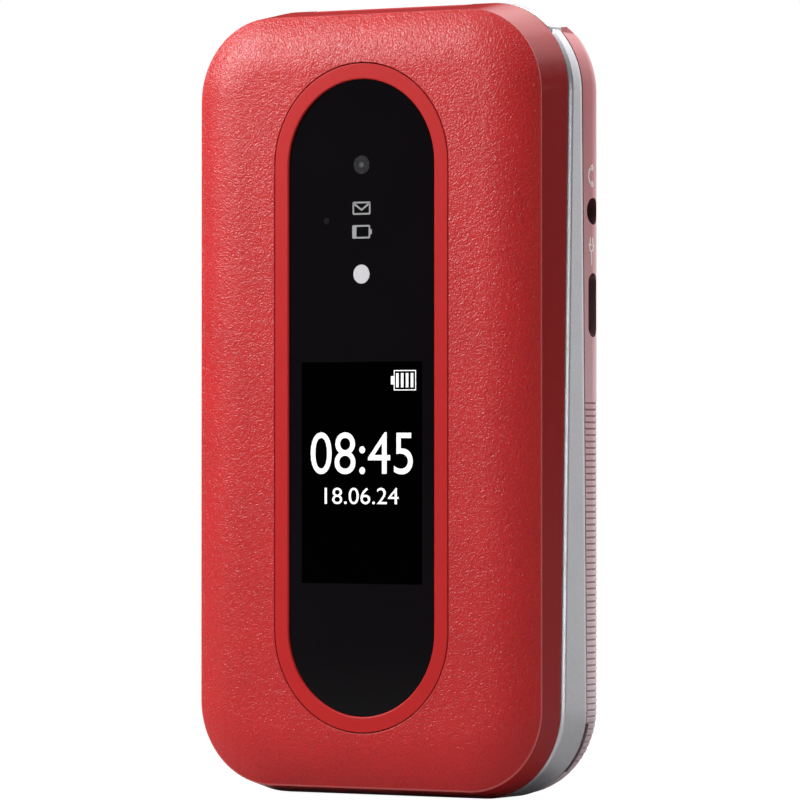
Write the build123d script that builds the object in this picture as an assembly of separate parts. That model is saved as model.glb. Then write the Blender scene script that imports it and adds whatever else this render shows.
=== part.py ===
from build123d import *
import os
from math import cos, radians, sin, sqrt

# Flip phone, standing on its free end with the hinge at the top. Millimetres.
# X is across the phone, -Y is the outer face of the lid, +Z runs up to the hinge.
# The origin is the middle of the footprint, at the level of the bottom end.

# ---- whole body ----
BODY_HEIGHT = 106.0
BODY_WIDTH = 55.0
BODY_DEPTH = 19.0
CORNER_R = 12.0
PARTING_Y = -2.1  # mid-height of the plane between lid and base
PARTING_TILT = 1.44  # degrees that the plane leans back at the hinge end
PARTING_GAP = 0.2
SEAM_Y = 2.925  # mid-height of the plane between silver frame and battery cover
SEAM_TILT = 0.84  # degrees that the seam leans forward at the hinge end
FIT_GAP = 0.1  # between pieces that are screwed or glued together
SLIDE_GAP = 0.25  # between the battery cover and what it slides over
SNUG_GAP = 0.03  # extra radius of a hole that a round part is pushed into
CUT = 1.0  # how far a cutting tool reaches past the face it cuts

# ---- lid shell ----
LID_SIDE_INSET = 0.4
LID_END_INSET = 0.05
LID_SIDE_TAPER = 0.65
LID_END_TAPER = 1.8
LID_WALL = 1.4
LID_FRONT_WALL = 2.1
CROWN_RUN = 7.5  # width of the rounded band inside the front edge
CROWN_RISE = 2.0

# ---- outer window ----
WINDOW_WIDTH = 22.8
WINDOW_RISE = 10.75  # RISE sizes run up from the bottom end, DROP sizes run down from the top end
WINDOW_DROP = 10.15
WINDOW_THICK = 0.95
WINDOW_SINK = 0.25
BEZEL_BAND = 2.1
BEZEL_GROOVE = 0.15
WINDOW_LEDGE = 1.2
OUTER_DISPLAY_WIDTH = 20.0
OUTER_DISPLAY_THICK = 1.45
OUTER_DISPLAY_RISE = 26.8
OUTER_DISPLAY_DROP = 46.2
CAMERA_DROP = 21.6
CAMERA_R = 3.2
CAMERA_LENS_R = 1.25
CAMERA_NECK = 0.3
CAMERA_LENS_DEPTH = 0.2
FLASH_DROP = 36.2
FLASH_SIZE = 3.0
ENVELOPE_LIGHT_DROP = 27.4
BATTERY_LIGHT_DROP = 30.5
LIGHT_WIDTH = 2.8
LIGHT_HEIGHT = 1.8
LIGHT_THICK = 0.8

# ---- lid inside ----
LID_PLATE_THICK = 1.2
LID_BOARD_WIDTH = 34.0
LID_BOARD_RISE = 18.0
LID_BOARD_DROP = 12.0
LID_BOARD_THICK = 0.6
LID_BOARD_CORNER = 2.0
LID_BOARD_GAP = 0.1
MAIN_WINDOW_SIDE = 2.6
MAIN_WINDOW_RISE = 17.5
MAIN_WINDOW_DROP = 19.5
MAIN_WINDOW_THICK = 0.75
MAIN_WINDOW_CORNER = 2.5
DISPLAY_SIDE = 1.0
DISPLAY_END = 3.0
MAIN_DISPLAY_THICK = 1.8
DISPLAY_BORDER = 2.0  # glued rim of the display behind the inner frame
EARPIECE_RISE = 9.4
EARPIECE_WIDTH = 12.0
EARPIECE_HEIGHT = 6.0
EARPIECE_THICK = 2.0
EARPIECE_CORNER = 1.5
EAR_SLOT_WIDTH = 9.0
EAR_SLOT_HEIGHT = 1.6
MESH_MARGIN = 0.6
MESH_THICK = 0.3
MAGNET_SIZE = 5.0
MAGNET_THICK = 1.5
MAGNET_SPACE = 1.5
LID_SCREW_SIDE = 7.6
LID_SCREW_RISE = 7.0
LID_SCREW_DROP = 12.5
SCREW_R = 0.8
SCREW_HEAD_R = 1.5
SCREW_HEAD_HEIGHT = 0.5
SCREW_HEAD_SINK = 0.2
SCREW_LENGTH = 3.2
SCREW_PILOT_GAP = 0.04
BOSS_R = 2.1
BUMPER_R = 1.9
BUMPER_HEIGHT = 0.7
MODULE_CORNER = 1.0
FLEX_THICK = 0.15
LID_FLEX_WIDTH = 10.0
LID_FLEX_START = 1.0

# ---- hinge ----
AXIS_DROP = 3.5  # hinge axis below the top end
BARREL_R = 3.4
BARREL_HALF = 12.0
KNUCKLE_GAP = 0.3
BARREL_RELIEF = 0.35
BAY_GAP = 0.35
KNUCKLE_LENGTH = 3.9
NECK_THICK = 2.7
NECK_SETBACK = 0.5
TONGUE_THICK = 0.8
TONGUE_LENGTH = 6.5
CASE_R = 2.5
CASE_SETBACK = 0.2
CASE_LENGTH = 12.3
CASE_WALL = 0.5
SHAFT_R = 0.8
SHAFT_KEY_R = 1.6
SHAFT_KEY_LENGTH = 5.5
SHAFT_END_GAP = 1.7
CAM_LENGTH = 2.4
SPRING_WIRE = 0.5
SPRING_R = 1.5
SPRING_TURNS = 5
SPRING_SEAT_GAP = 0.15
PIN_R = 1.5
PIN_HOLD = 4.5
PIN_REACH = 5.5
RUN_GAP = 0.05  # radial clearance of the hinge's running fits
LID_SWEEP_GAP = 1.0  # between the lid's swinging end and the cover
FLEX_MARGIN = 1.0
FLEX_SLOT = 0.3
FLEX_COIL_THICK = 0.2
COVER_TOP_RISE = 0.5  # back of the cover above the hinge axis

# ---- silver frame ----
FRAME_WALL = 1.4
FRAME_FRONT_CHAMFER = 0.4
FRAME_REAR_CHAMFER = 0.8
FRAME_REAR_SETBACK = 0.25
DECK_SINK = 0.6
DECK_THICK = 1.2

# ---- keys ----
KEYPAD_SIDE = 2.7
KEYPAD_RISE = 8.8
KEYPAD_DROP = 28.5
KEY_COLUMNS = 3
KEY_ROWS = 4
KEY_SPACE_X = 1.8
KEY_SPACE_V = 2.6
BLOCK_SPACE = 5.3  # between the numbers and the keys above them
SIDE_KEY_SPACE = 2.0
KEY_CORNER = 2.2
KEY_PROUD = 0.5
KEY_EDGE = 0.35
KEY_GAP = 0.15
KEY_SKIRT = 0.4
KEY_SKIRT_THICK = 0.4
KEY_SKIRT_GAP = 0.05
KEY_TRAVEL = 0.35
TRAVEL_SPARE = 0.05
NAV_HEIGHT = 22.0
NAV_CORNER = 6.0
NAV_PIVOT_HALF = 3.5
MEMBRANE_THICK = 0.3
MEMBRANE_MARGIN = 2.1
DOME_R = 2.4
DOME_THICK = 0.25
DOME_GAP = 0.05

# ---- main board and what sits on it ----
BOARD_SIDE_GAP = 1.6
BOARD_RISE = 7.0
BOARD_DROP = 22.5
BOARD_THICK = 0.8
CAN_THICK = 1.4
CAN_DROP = 24.0
CAN_HEIGHT = 17.0
CAN_SIDE = 2.5
CAN_WIDTH = 14.0
CAN_SPACE = 1.5
CAN_JACK_GAP = 3.25
CAN_CORNER = 0.8
MICROPHONE_X = 8.0
MICROPHONE_RISE = 10.0
MICROPHONE_SIZE = 3.0
MICROPHONE_THICK = 1.0
MICROPHONE_CORNER = 0.5

# ---- chassis ----
CHASSIS_BACK_Y = 8.25
CHASSIS_BACK_WALL = 0.6
CHASSIS_SIDE_WALL = 1.2
CHASSIS_BACK_R = 3.3
CHASSIS_FLOOR = 0.8
CHASSIS_HOLLOW_R = 1.0
SIDE_POCKET_WALL = 2.0
SCREW_SEAT = 1.2
BAY_RISE = 8.0
BAY_DROP = 45.5
BAY_SIDE_GAP = 0.2
BATTERY_WIDTH = 34.0
CONTACT_SPACE = 2.5
BATTERY_THICK = 4.2
BATTERY_CORNER = 2.0
BATTERY_EDGE = 0.4
CONTACT_WIDTH = 8.0
CONTACT_FINGER = 1.4
CONTACT_FINGERS = 3
CONTACT_THICK = 2.4
CONTACT_REACH = 0.6
CONTACT_FINGER_THICK = 1.0
CARD_WIDTH = 15.0
CARD_HEIGHT = 12.0
CARD_THICK = 1.4
CARD_SLOT = 0.85
CARD_RIM = 1.0
CARD_SIDE = 15.0
CARD_DROP = 36.0
SPEAKER_WIDTH = 14.0
SPEAKER_HEIGHT = 10.5
SPEAKER_THICK = 4.0
SPEAKER_CORNER = 2.0
SPEAKER_SIDE = 14.3
SPEAKER_DROP = 15.0
GRILLE_SLOTS = 4
GRILLE_PITCH = 2.0
GRILLE_SLOT_LENGTH = 8.0
GRILLE_SLOT_WIDTH = 0.9
MOTOR_R = 2.0
MOTOR_LENGTH = 9.0
MOTOR_SIDE = 14.5
MOTOR_DROP = 15.0
ANTENNA_WIDTH = 34.0
ANTENNA_HEIGHT = 2.6
ANTENNA_THICK = 0.1
BASE_SCREW_LOW_SIDE = 10.0
BASE_SCREW_HIGH_SIDE = 4.7
BASE_SCREW_RISE = 4.7
BASE_SCREW_DROP = 19.5
BASE_SCREW_LENGTH = 3.3

# ---- sockets in the right side ----
SOCKET_Y = 5.3
JACK_DROP = 27.9
JACK_R = 1.8
JACK_LENGTH = 13.0
JACK_BODY = 4.7
JACK_BACK = 1.2
JACK_SHOULDER = 0.5
USB_DROP = 40.4
USB_MOUTH_LENGTH = 8.34
USB_MOUTH_WIDTH = 2.56
USB_WALL = 0.55
USB_LENGTH = 7.4
USB_DEPTH = 6.4
USB_TONGUE_LENGTH = 6.7
USB_TONGUE_THICK = 0.7
USB_TONGUE_REACH = 4.6
SEAT_MARGIN = 1.0
SEAT_SETBACK = 3.0
PORT_GAP = 0.1  # round the charging socket in the battery cover

# ---- battery cover ----
COVER_INSET = 0.2
COVER_WALL = 1.1
COVER_EDGE_R = 4.6
NOTCH_LENGTH = 6.5
NOTCH_DEPTH = 0.8
NOTCH_RISE = 6.7
NOTCH_REACH = 9.0

# ---- volume rocker and assistance button ----
VOLUME_DROP = 27.0
VOLUME_Y = 0.75
VOLUME_LENGTH = 18.0
VOLUME_WIDTH = 1.8
VOLUME_SKIRT = 0.5
VOLUME_SKIRT_THICK = 0.5
VOLUME_SKIRT_GAP = 0.2
VOLUME_DISH = 0.4
VOLUME_DISH_MARGIN = 3.0
VOLUME_DISH_WIDTH = 5.8
VOLUME_ROUND = 0.8
VOLUME_EDGE = 0.2
HELP_DROP = 22.0
HELP_R = 4.8
HELP_SKIRT = 0.6
HELP_SKIRT_THICK = 0.5
HELP_SINK = 0.15
HELP_DISH_R = 30.0
HELP_DISH = 0.25
HELP_EDGE = 0.3
HELP_POCKET_GAP = 0.2
HELP_POCKET_DEPTH = 2.0

# ---- worked out from the sizes above ----
FRONT_Y = -BODY_DEPTH / 2
BACK_Y = BODY_DEPTH / 2
MID_Z = BODY_HEIGHT / 2
FAR = BODY_HEIGHT  # reach of a tool that cuts right through
FRAME_INNER_HALF = BODY_WIDTH / 2 - FRAME_WALL
LID_WIDTH = BODY_WIDTH - 2 * LID_SIDE_INSET
LID_HEIGHT = BODY_HEIGHT - 2 * LID_END_INSET
LID_CORNER = CORNER_R - LID_SIDE_INSET
CROWN_R = (CROWN_RUN**2 + CROWN_RISE**2) / (2 * CROWN_RISE)
WALL_TOP_Y = FRONT_Y - CUT
EDGE_Y = FRONT_Y + CROWN_RISE
EDGE_SHARE = (PARTING_Y - EDGE_Y) / (PARTING_Y - WALL_TOP_Y)  # part of the taper reached at the front edge
SIDE_IN = EDGE_SHARE * LID_SIDE_TAPER
END_IN = EDGE_SHARE * LID_END_TAPER
HALF_GAP = PARTING_GAP / 2
WINDOW_HEIGHT = BODY_HEIGHT - WINDOW_RISE - WINDOW_DROP
WINDOW_Z = WINDOW_RISE + WINDOW_HEIGHT / 2
OUTER_DISPLAY_HEIGHT = BODY_HEIGHT - OUTER_DISPLAY_RISE - OUTER_DISPLAY_DROP
OUTER_DISPLAY_Z = OUTER_DISPLAY_RISE + OUTER_DISPLAY_HEIGHT / 2
CAMERA_Z = BODY_HEIGHT - CAMERA_DROP
WINDOW_FACE_Y = FRONT_Y + WINDOW_SINK
LEDGE_Y = WINDOW_FACE_Y + WINDOW_THICK
LID_BOARD_FRONT_Y = LEDGE_Y + OUTER_DISPLAY_THICK + 2 * LID_BOARD_GAP
LID_BOARD_HEIGHT = BODY_HEIGHT - LID_BOARD_RISE - LID_BOARD_DROP
LID_BOARD_Z = LID_BOARD_RISE + LID_BOARD_HEIGHT / 2
MAIN_WINDOW_WIDTH = LID_WIDTH - 2 * MAIN_WINDOW_SIDE
MAIN_WINDOW_HEIGHT = BODY_HEIGHT - MAIN_WINDOW_RISE - MAIN_WINDOW_DROP
MAIN_WINDOW_V = (MAIN_WINDOW_RISE - MAIN_WINDOW_DROP) / 2
MAIN_DISPLAY_WIDTH = MAIN_WINDOW_WIDTH - 2 * DISPLAY_SIDE
MAIN_DISPLAY_HEIGHT = MAIN_WINDOW_HEIGHT - 2 * DISPLAY_END
EARPIECE_V = EARPIECE_RISE - MID_Z
MAGNET_X = EARPIECE_WIDTH / 2 + MAGNET_SPACE + MAGNET_SIZE / 2
LID_SCREW_X = LID_WIDTH / 2 - LID_SCREW_SIDE
LID_SCREW_LOW_V = LID_SCREW_RISE - MID_Z
LID_SCREW_HIGH_V = MID_Z - LID_SCREW_DROP
PLATE_LOW = HALF_GAP
PLATE_HIGH = PLATE_LOW + LID_PLATE_THICK
AXIS_V = MID_Z - AXIS_DROP
BAY_V = AXIS_V - BARREL_R - BAY_GAP
PLATE_TOP_V = BAY_V - FIT_GAP
BAY_HALF = BODY_WIDTH / 2 - CORNER_R + sqrt(CORNER_R**2 - (CORNER_R - AXIS_DROP) ** 2) + KNUCKLE_GAP
AXIS_Y = PARTING_Y + AXIS_V * sin(radians(PARTING_TILT))
LID_SWEEP_R = sqrt((AXIS_DROP - LID_END_INSET - END_IN) ** 2 + (AXIS_Y - EDGE_Y) ** 2) + LID_SWEEP_GAP
CAP_START_X = BARREL_HALF + KNUCKLE_LENGTH
CASE_START_X = CASE_SETBACK - BARREL_HALF
CASE_END_X = CASE_START_X + CASE_LENGTH
SHAFT_END_X = CASE_END_X - SHAFT_END_GAP
PIN_START_X = BARREL_HALF - PIN_HOLD
PIN_END_X = BARREL_HALF + PIN_REACH
KEYPAD_TOP_V = MID_Z - KEYPAD_DROP
KEY_WIDTH = (2 * (FRAME_INNER_HALF - KEYPAD_SIDE) - (KEY_COLUMNS - 1) * KEY_SPACE_X) / KEY_COLUMNS
KEY_PITCH_X = KEY_WIDTH + KEY_SPACE_X
NUMBERS_HEIGHT = BODY_HEIGHT - KEYPAD_RISE - KEYPAD_DROP - NAV_HEIGHT - BLOCK_SPACE
KEY_HEIGHT = (NUMBERS_HEIGHT - (KEY_ROWS - 1) * KEY_SPACE_V) / KEY_ROWS
KEY_PITCH_V = KEY_HEIGHT + KEY_SPACE_V
KEY_LOW_V = KEYPAD_RISE + KEY_HEIGHT / 2 - MID_Z
SIDE_KEY_HEIGHT = (NAV_HEIGHT - SIDE_KEY_SPACE) / 2
NAV_V = KEYPAD_TOP_V - NAV_HEIGHT / 2
SOFT_V = KEYPAD_TOP_V - SIDE_KEY_HEIGHT / 2
CALL_V = SOFT_V - SIDE_KEY_HEIGHT - SIDE_KEY_SPACE
DECK_HIGH = -HALF_GAP - DECK_SINK
DECK_LOW = DECK_HIGH - DECK_THICK
SKIRT_HIGH = DECK_LOW - KEY_SKIRT_GAP
SKIRT_LOW = SKIRT_HIGH - KEY_SKIRT_THICK
MEMBRANE_HIGH = SKIRT_LOW - KEY_TRAVEL - TRAVEL_SPARE
MEMBRANE_LOW = MEMBRANE_HIGH - MEMBRANE_THICK
DOME_HIGH = MEMBRANE_LOW - DOME_GAP
BOARD_HIGH = DOME_HIGH - DOME_THICK
BOARD_LOW = BOARD_HIGH - BOARD_THICK
CHASSIS_FRONT = BOARD_LOW - DOME_GAP
BOARD_WIDTH = 2 * (FRAME_INNER_HALF - BOARD_SIDE_GAP)
BOARD_LOW_V = BOARD_RISE - MID_Z
BOARD_HIGH_V = MID_Z - BOARD_DROP
COVER_WIDTH = BODY_WIDTH - 2 * COVER_INSET
COVER_HEIGHT = BODY_HEIGHT - 2 * COVER_INSET
COVER_CORNER = CORNER_R - COVER_INSET
CHASSIS_INSET = COVER_INSET + COVER_WALL + SLIDE_GAP
CHASSIS_WIDTH = BODY_WIDTH - 2 * CHASSIS_INSET
CHASSIS_HEIGHT = BODY_HEIGHT - 2 * CHASSIS_INSET
CHASSIS_CORNER = CORNER_R - CHASSIS_INSET
COVER_INNER_Y = BACK_Y - COVER_WALL
BATTERY_FRONT_Y = COVER_INNER_Y - FIT_GAP - BATTERY_THICK
BAY_FLOOR_Y = BATTERY_FRONT_Y - DOME_GAP
BAY_HIGH_Z = BODY_HEIGHT - BAY_DROP
BATTERY_HEIGHT = BAY_HIGH_Z - BAY_RISE - CONTACT_SPACE
SOCKET_FACE_X = CHASSIS_WIDTH / 2
JACK_Z = BODY_HEIGHT - JACK_DROP
USB_Z = BODY_HEIGHT - USB_DROP
SPEAKER_X = SPEAKER_SIDE - BODY_WIDTH / 2
SPEAKER_Z = BODY_HEIGHT - SPEAKER_DROP
MOTOR_X = BODY_WIDTH / 2 - MOTOR_SIDE
CARD_X = CARD_SIDE - BODY_WIDTH / 2
HELP_Z = BODY_HEIGHT - HELP_DROP


# ---- helpers ----
def leaning(y, tilt):
    """A plane that faces the front at mid-height, and leans back at the top by tilt degrees."""
    lean = radians(tilt)
    return Plane(origin=(0, y, MID_Z), x_dir=(1, 0, 0), z_dir=(0, -cos(lean), sin(lean)))


PARTING = leaning(PARTING_Y, PARTING_TILT)
SEAM = leaning(SEAM_Y, -SEAM_TILT)


def panel(sketch, front_y, back_y, x=0.0, z=MID_Z):
    """A plate that faces the front, between two depths."""
    return Pos(x, back_y, z) * Rot(90, 0, 0) * extrude(sketch, back_y - front_y)


def layer(sketch, low, high, x=0.0, v=0.0):
    """A plate in the parting frame: v runs up the phone from mid-height, heights run out of the keypad."""
    return PARTING * Pos(x, v, low) * extrude(sketch, high - low)


def block(x_low, x_high, y_low, y_high, z_low, z_high):
    """A box between two corners."""
    size = Box(x_high - x_low, y_high - y_low, z_high - z_low, align=(Align.MIN, Align.MIN, Align.MIN))
    return Pos(x_low, y_low, z_low) * size


def deck_block(x_low, x_high, v_low, v_high, low, high):
    """A box in the parting frame."""
    return PARTING * block(x_low, x_high, v_low, v_high, low, high)


def hinge_rod(radius, x_low, x_high):
    """A round bar on the hinge axis."""
    bar = Cylinder(radius, x_high - x_low)
    return PARTING * Pos((x_low + x_high) / 2, AXIS_V, 0) * Rot(0, 90, 0) * bar


def side_rod(radius, x_low, x_high, y, z):
    """A round bar along X."""
    return Pos((x_low + x_high) / 2, y, z) * Rot(0, 90, 0) * Cylinder(radius, x_high - x_low)


def stadium(width, height):
    """An upright slot with round ends."""
    return SlotOverall(height, width, rotation=90)


def outline(inset=0.0):
    """The phone's outline, drawn in from the silver frame's side by inset."""
    return RectangleRounded(BODY_WIDTH - 2 * inset, BODY_HEIGHT - 2 * inset, CORNER_R - inset)


def front_edges(solid):
    return solid.faces().sort_by(Axis.Y)[0].outer_wire().edges()


def back_edges(solid):
    return solid.faces().sort_by(Axis.Y)[-1].outer_wire().edges()


def behind(plane, offset=0.0):
    """The half space behind a leaning plane, as a big block."""
    return plane * Pos(0, 0, offset) * extrude(Rectangle(2 * FAR, 2 * FAR), -FAR)


def in_front(plane, offset=0.0):
    return plane * Pos(0, 0, offset) * extrude(Rectangle(2 * FAR, 2 * FAR), FAR)


# ---- lid ----
def lid_block(inset, front_inset):
    """The lid's outer form, or its cavity when it is drawn in: tapered walls under a crowned front."""
    rim = RectangleRounded(LID_WIDTH - 2 * inset, LID_HEIGHT - 2 * inset, LID_CORNER - inset)
    top_corner = LID_CORNER - LID_SIDE_TAPER - inset
    top_width = LID_WIDTH - 2 * LID_SIDE_TAPER - 2 * inset
    top_height = LID_HEIGHT - 2 * LID_END_TAPER - 2 * inset
    top = RectangleRounded(top_width, top_height, top_corner)
    walls = loft([PARTING * Pos(0, 0, HALF_GAP) * rim, leaning(WALL_TOP_Y, 0) * top], ruled=True)
    arc = CROWN_R - front_inset
    crown_width = LID_WIDTH - 2 * SIDE_IN - 2 * CROWN_RUN + 2 * arc
    crown_height = LID_HEIGHT - 2 * END_IN - 2 * CROWN_RUN + 2 * arc
    crown_corner = LID_CORNER - SIDE_IN - CROWN_RUN + arc
    crown = panel(RectangleRounded(crown_width, crown_height, crown_corner), FRONT_Y + front_inset, FAR)
    crown = fillet(front_edges(crown), arc)
    return walls & crown


def lid_screw_places():
    return [(side * LID_SCREW_X, v) for side in (-1, 1) for v in (LID_SCREW_LOW_V, LID_SCREW_HIGH_V)]


def make_lid_outer_shell():
    shell = lid_block(0, 0) - lid_block(LID_WALL, LID_FRONT_WALL)
    bezel_width = WINDOW_WIDTH + 2 * BEZEL_BAND
    bezel_height = WINDOW_HEIGHT + 2 * BEZEL_BAND
    recess = stadium(bezel_width + 2 * BEZEL_GROOVE, bezel_height + 2 * BEZEL_GROOVE)
    shell -= panel(recess, WALL_TOP_Y, LEDGE_Y, z=WINDOW_Z)
    ledge = stadium(WINDOW_WIDTH - 2 * WINDOW_LEDGE, WINDOW_HEIGHT - 2 * WINDOW_LEDGE)
    shell -= panel(ledge, WALL_TOP_Y, PARTING_Y, z=WINDOW_Z)
    inside = lid_block(LID_WALL / 2, LID_FRONT_WALL / 2)
    for x, v in lid_screw_places():
        boss = layer(Circle(BOSS_R), PLATE_HIGH, BODY_DEPTH, x, v) & inside
        pilot = layer(Circle(SCREW_R + SCREW_PILOT_GAP), PLATE_LOW, PLATE_LOW + SCREW_LENGTH + FIT_GAP, x, v)
        shell += boss - pilot
    start = BARREL_HALF + KNUCKLE_GAP
    for side in (-1, 1):
        knuckle = hinge_rod(BARREL_R, *sorted([side * start, side * CAP_START_X]))
        corner = hinge_rod(BARREL_R, *sorted([side * CAP_START_X, side * BAY_HALF]))
        knuckle += corner & inside & in_front(PARTING, HALF_GAP)
        shell += knuckle
    shell -= hinge_rod(BARREL_R + BARREL_RELIEF, -start, start)
    shell -= hinge_rod(SHAFT_KEY_R + SNUG_GAP, -start - SHAFT_KEY_LENGTH, -start + KNUCKLE_GAP)
    shell -= hinge_rod(PIN_R + RUN_GAP, start - KNUCKLE_GAP, PIN_END_X + FIT_GAP)
    return shell


def make_hinge_end_caps():
    """Silver caps that carry the frame's band round the corners, on the lid's knuckles."""
    whole = panel(outline(), FRONT_Y, BACK_Y) & behind(PARTING, HALF_GAP)
    caps = []
    for side in (-1, 1):
        ends = sorted([side * CAP_START_X, side * (BAY_HALF - KNUCKLE_GAP)])
        cap = hinge_rod(BARREL_R, *ends) & whole
        cap -= hinge_rod(PIN_R + 2 * RUN_GAP, -PIN_END_X - FIT_GAP, PIN_END_X + FIT_GAP)
        caps.append(cap)
    key_space = hinge_rod(SHAFT_KEY_R + SNUG_GAP, -BARREL_HALF - KNUCKLE_GAP - SHAFT_KEY_LENGTH, -CAP_START_X)
    return Compound([cap - key_space for cap in caps])


def make_window_bezel():
    outer = stadium(WINDOW_WIDTH + 2 * BEZEL_BAND, WINDOW_HEIGHT + 2 * BEZEL_BAND)
    ring = panel(outer, FRONT_Y, LEDGE_Y, z=WINDOW_Z)
    ring -= panel(stadium(WINDOW_WIDTH, WINDOW_HEIGHT), WALL_TOP_Y, LEDGE_Y + CUT, z=WINDOW_Z)
    inner = ring.faces().sort_by(Axis.Y)[0].inner_wires()[0].edges()
    return chamfer(inner, WINDOW_SINK / 2)


def make_outer_window():
    glass = stadium(WINDOW_WIDTH - FIT_GAP, WINDOW_HEIGHT - FIT_GAP)
    return panel(glass, WINDOW_FACE_Y, LEDGE_Y, z=WINDOW_Z)


def make_outer_display():
    module = Rectangle(OUTER_DISPLAY_WIDTH, OUTER_DISPLAY_HEIGHT)
    return panel(module, LEDGE_Y, LEDGE_Y + OUTER_DISPLAY_THICK, z=OUTER_DISPLAY_Z)


def make_camera_module():
    back_y = LID_BOARD_FRONT_Y
    neck_y = LEDGE_Y + CAMERA_NECK
    body = panel(RectangleRounded(2 * CAMERA_R, 2 * CAMERA_R, MODULE_CORNER), neck_y, back_y, z=CAMERA_Z)
    body += panel(Circle(2 * CAMERA_LENS_R), LEDGE_Y, neck_y, z=CAMERA_Z)
    return body - panel(Circle(CAMERA_LENS_R), LEDGE_Y - CUT, LEDGE_Y + CAMERA_LENS_DEPTH, z=CAMERA_Z)


def make_outer_lights():
    """Flash lamp and the two indicator lights, on the board behind the window."""
    places = [(FLASH_DROP, FLASH_SIZE, FLASH_SIZE)]
    places += [(drop, LIGHT_WIDTH, LIGHT_HEIGHT) for drop in (ENVELOPE_LIGHT_DROP, BATTERY_LIGHT_DROP)]
    lights = []
    for drop, width, height in places:
        lamp = Rectangle(width, height)
        z = BODY_HEIGHT - drop
        lights.append(panel(lamp, LID_BOARD_FRONT_Y - LIGHT_THICK, LID_BOARD_FRONT_Y, z=z))
    return Compound(lights)


def make_lid_circuit_board():
    board = RectangleRounded(LID_BOARD_WIDTH, LID_BOARD_HEIGHT, LID_BOARD_CORNER)
    return panel(board, LID_BOARD_FRONT_Y, LID_BOARD_FRONT_Y + LID_BOARD_THICK, z=LID_BOARD_Z)


def make_lid_inner_frame():
    plate = lid_block(LID_WALL + FIT_GAP, LID_FRONT_WALL) & layer(outline(), PLATE_LOW, PLATE_HIGH)
    plate -= deck_block(-FAR, FAR, PLATE_TOP_V, FAR, -FAR, FAR)
    recess_floor = PLATE_LOW + MAIN_WINDOW_THICK + FIT_GAP
    window = RectangleRounded(MAIN_WINDOW_WIDTH + FIT_GAP, MAIN_WINDOW_HEIGHT + FIT_GAP, MAIN_WINDOW_CORNER)
    plate -= layer(window, -CUT, recess_floor, v=MAIN_WINDOW_V)
    sight = Rectangle(MAIN_DISPLAY_WIDTH - 2 * DISPLAY_BORDER, MAIN_DISPLAY_HEIGHT - 2 * DISPLAY_BORDER)
    plate -= layer(sight, -CUT, PLATE_HIGH + CUT, v=MAIN_WINDOW_V)
    slot = SlotOverall(EAR_SLOT_WIDTH, EAR_SLOT_HEIGHT)
    plate -= layer(slot, -CUT, PLATE_HIGH + CUT, v=EARPIECE_V)
    mesh = SlotOverall(EAR_SLOT_WIDTH + 2 * MESH_MARGIN, EAR_SLOT_HEIGHT + 2 * MESH_MARGIN)
    plate -= layer(mesh, -CUT, PLATE_LOW + MESH_THICK + FIT_GAP, v=EARPIECE_V)
    for x, v in lid_screw_places():
        plate -= layer(Circle(BUMPER_R + FIT_GAP / 2), -CUT, PLATE_LOW + SCREW_HEAD_HEIGHT, x, v)
        plate -= layer(Circle(SCREW_R + FIT_GAP / 2), -CUT, PLATE_HIGH + CUT, x, v)
    return plate


def make_main_window():
    glass = RectangleRounded(MAIN_WINDOW_WIDTH, MAIN_WINDOW_HEIGHT, MAIN_WINDOW_CORNER)
    return layer(glass, PLATE_LOW + FIT_GAP, PLATE_LOW + FIT_GAP + MAIN_WINDOW_THICK, v=MAIN_WINDOW_V)


def make_main_display():
    module = Rectangle(MAIN_DISPLAY_WIDTH, MAIN_DISPLAY_HEIGHT)
    return layer(module, PLATE_HIGH, PLATE_HIGH + MAIN_DISPLAY_THICK, v=MAIN_WINDOW_V)


def make_earpiece():
    module = RectangleRounded(EARPIECE_WIDTH, EARPIECE_HEIGHT, EARPIECE_CORNER)
    return layer(module, PLATE_HIGH, PLATE_HIGH + EARPIECE_THICK, v=EARPIECE_V)


def make_earpiece_mesh():
    margin = 2 * MESH_MARGIN - FIT_GAP
    mesh = SlotOverall(EAR_SLOT_WIDTH + margin, EAR_SLOT_HEIGHT + margin)
    return layer(mesh, PLATE_LOW + FIT_GAP, PLATE_LOW + FIT_GAP + MESH_THICK, v=EARPIECE_V)


def make_lid_magnet():
    magnet = Rectangle(MAGNET_SIZE, MAGNET_SIZE)
    return layer(magnet, PLATE_HIGH, PLATE_HIGH + MAGNET_THICK, MAGNET_X, EARPIECE_V)


def make_lid_screws():
    screws = []
    for x, v in lid_screw_places():
        head_low = PLATE_LOW + SCREW_HEAD_SINK
        screw = layer(Circle(SCREW_HEAD_R), head_low, PLATE_LOW + SCREW_HEAD_HEIGHT, x, v)
        screw += layer(Circle(SCREW_R), head_low, PLATE_LOW + SCREW_LENGTH, x, v)
        screws.append(screw)
    return Compound(screws)


def make_lid_bumpers():
    bumpers = []
    for x, v in lid_screw_places():
        top = PLATE_LOW + SCREW_HEAD_SINK
        bumpers.append(layer(Circle(BUMPER_R), top - BUMPER_HEIGHT, top, x, v))
    return Compound(bumpers)


def make_lid_flex():
    """Ribbon from the hinge to the lid's board, along the back of the inner frame."""
    low_v = MAIN_WINDOW_V + MAIN_DISPLAY_HEIGHT / 2 + LID_FLEX_START
    half = LID_FLEX_WIDTH / 2
    return deck_block(-half, half, low_v, PLATE_TOP_V, PLATE_HIGH, PLATE_HIGH + FLEX_THICK)


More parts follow.
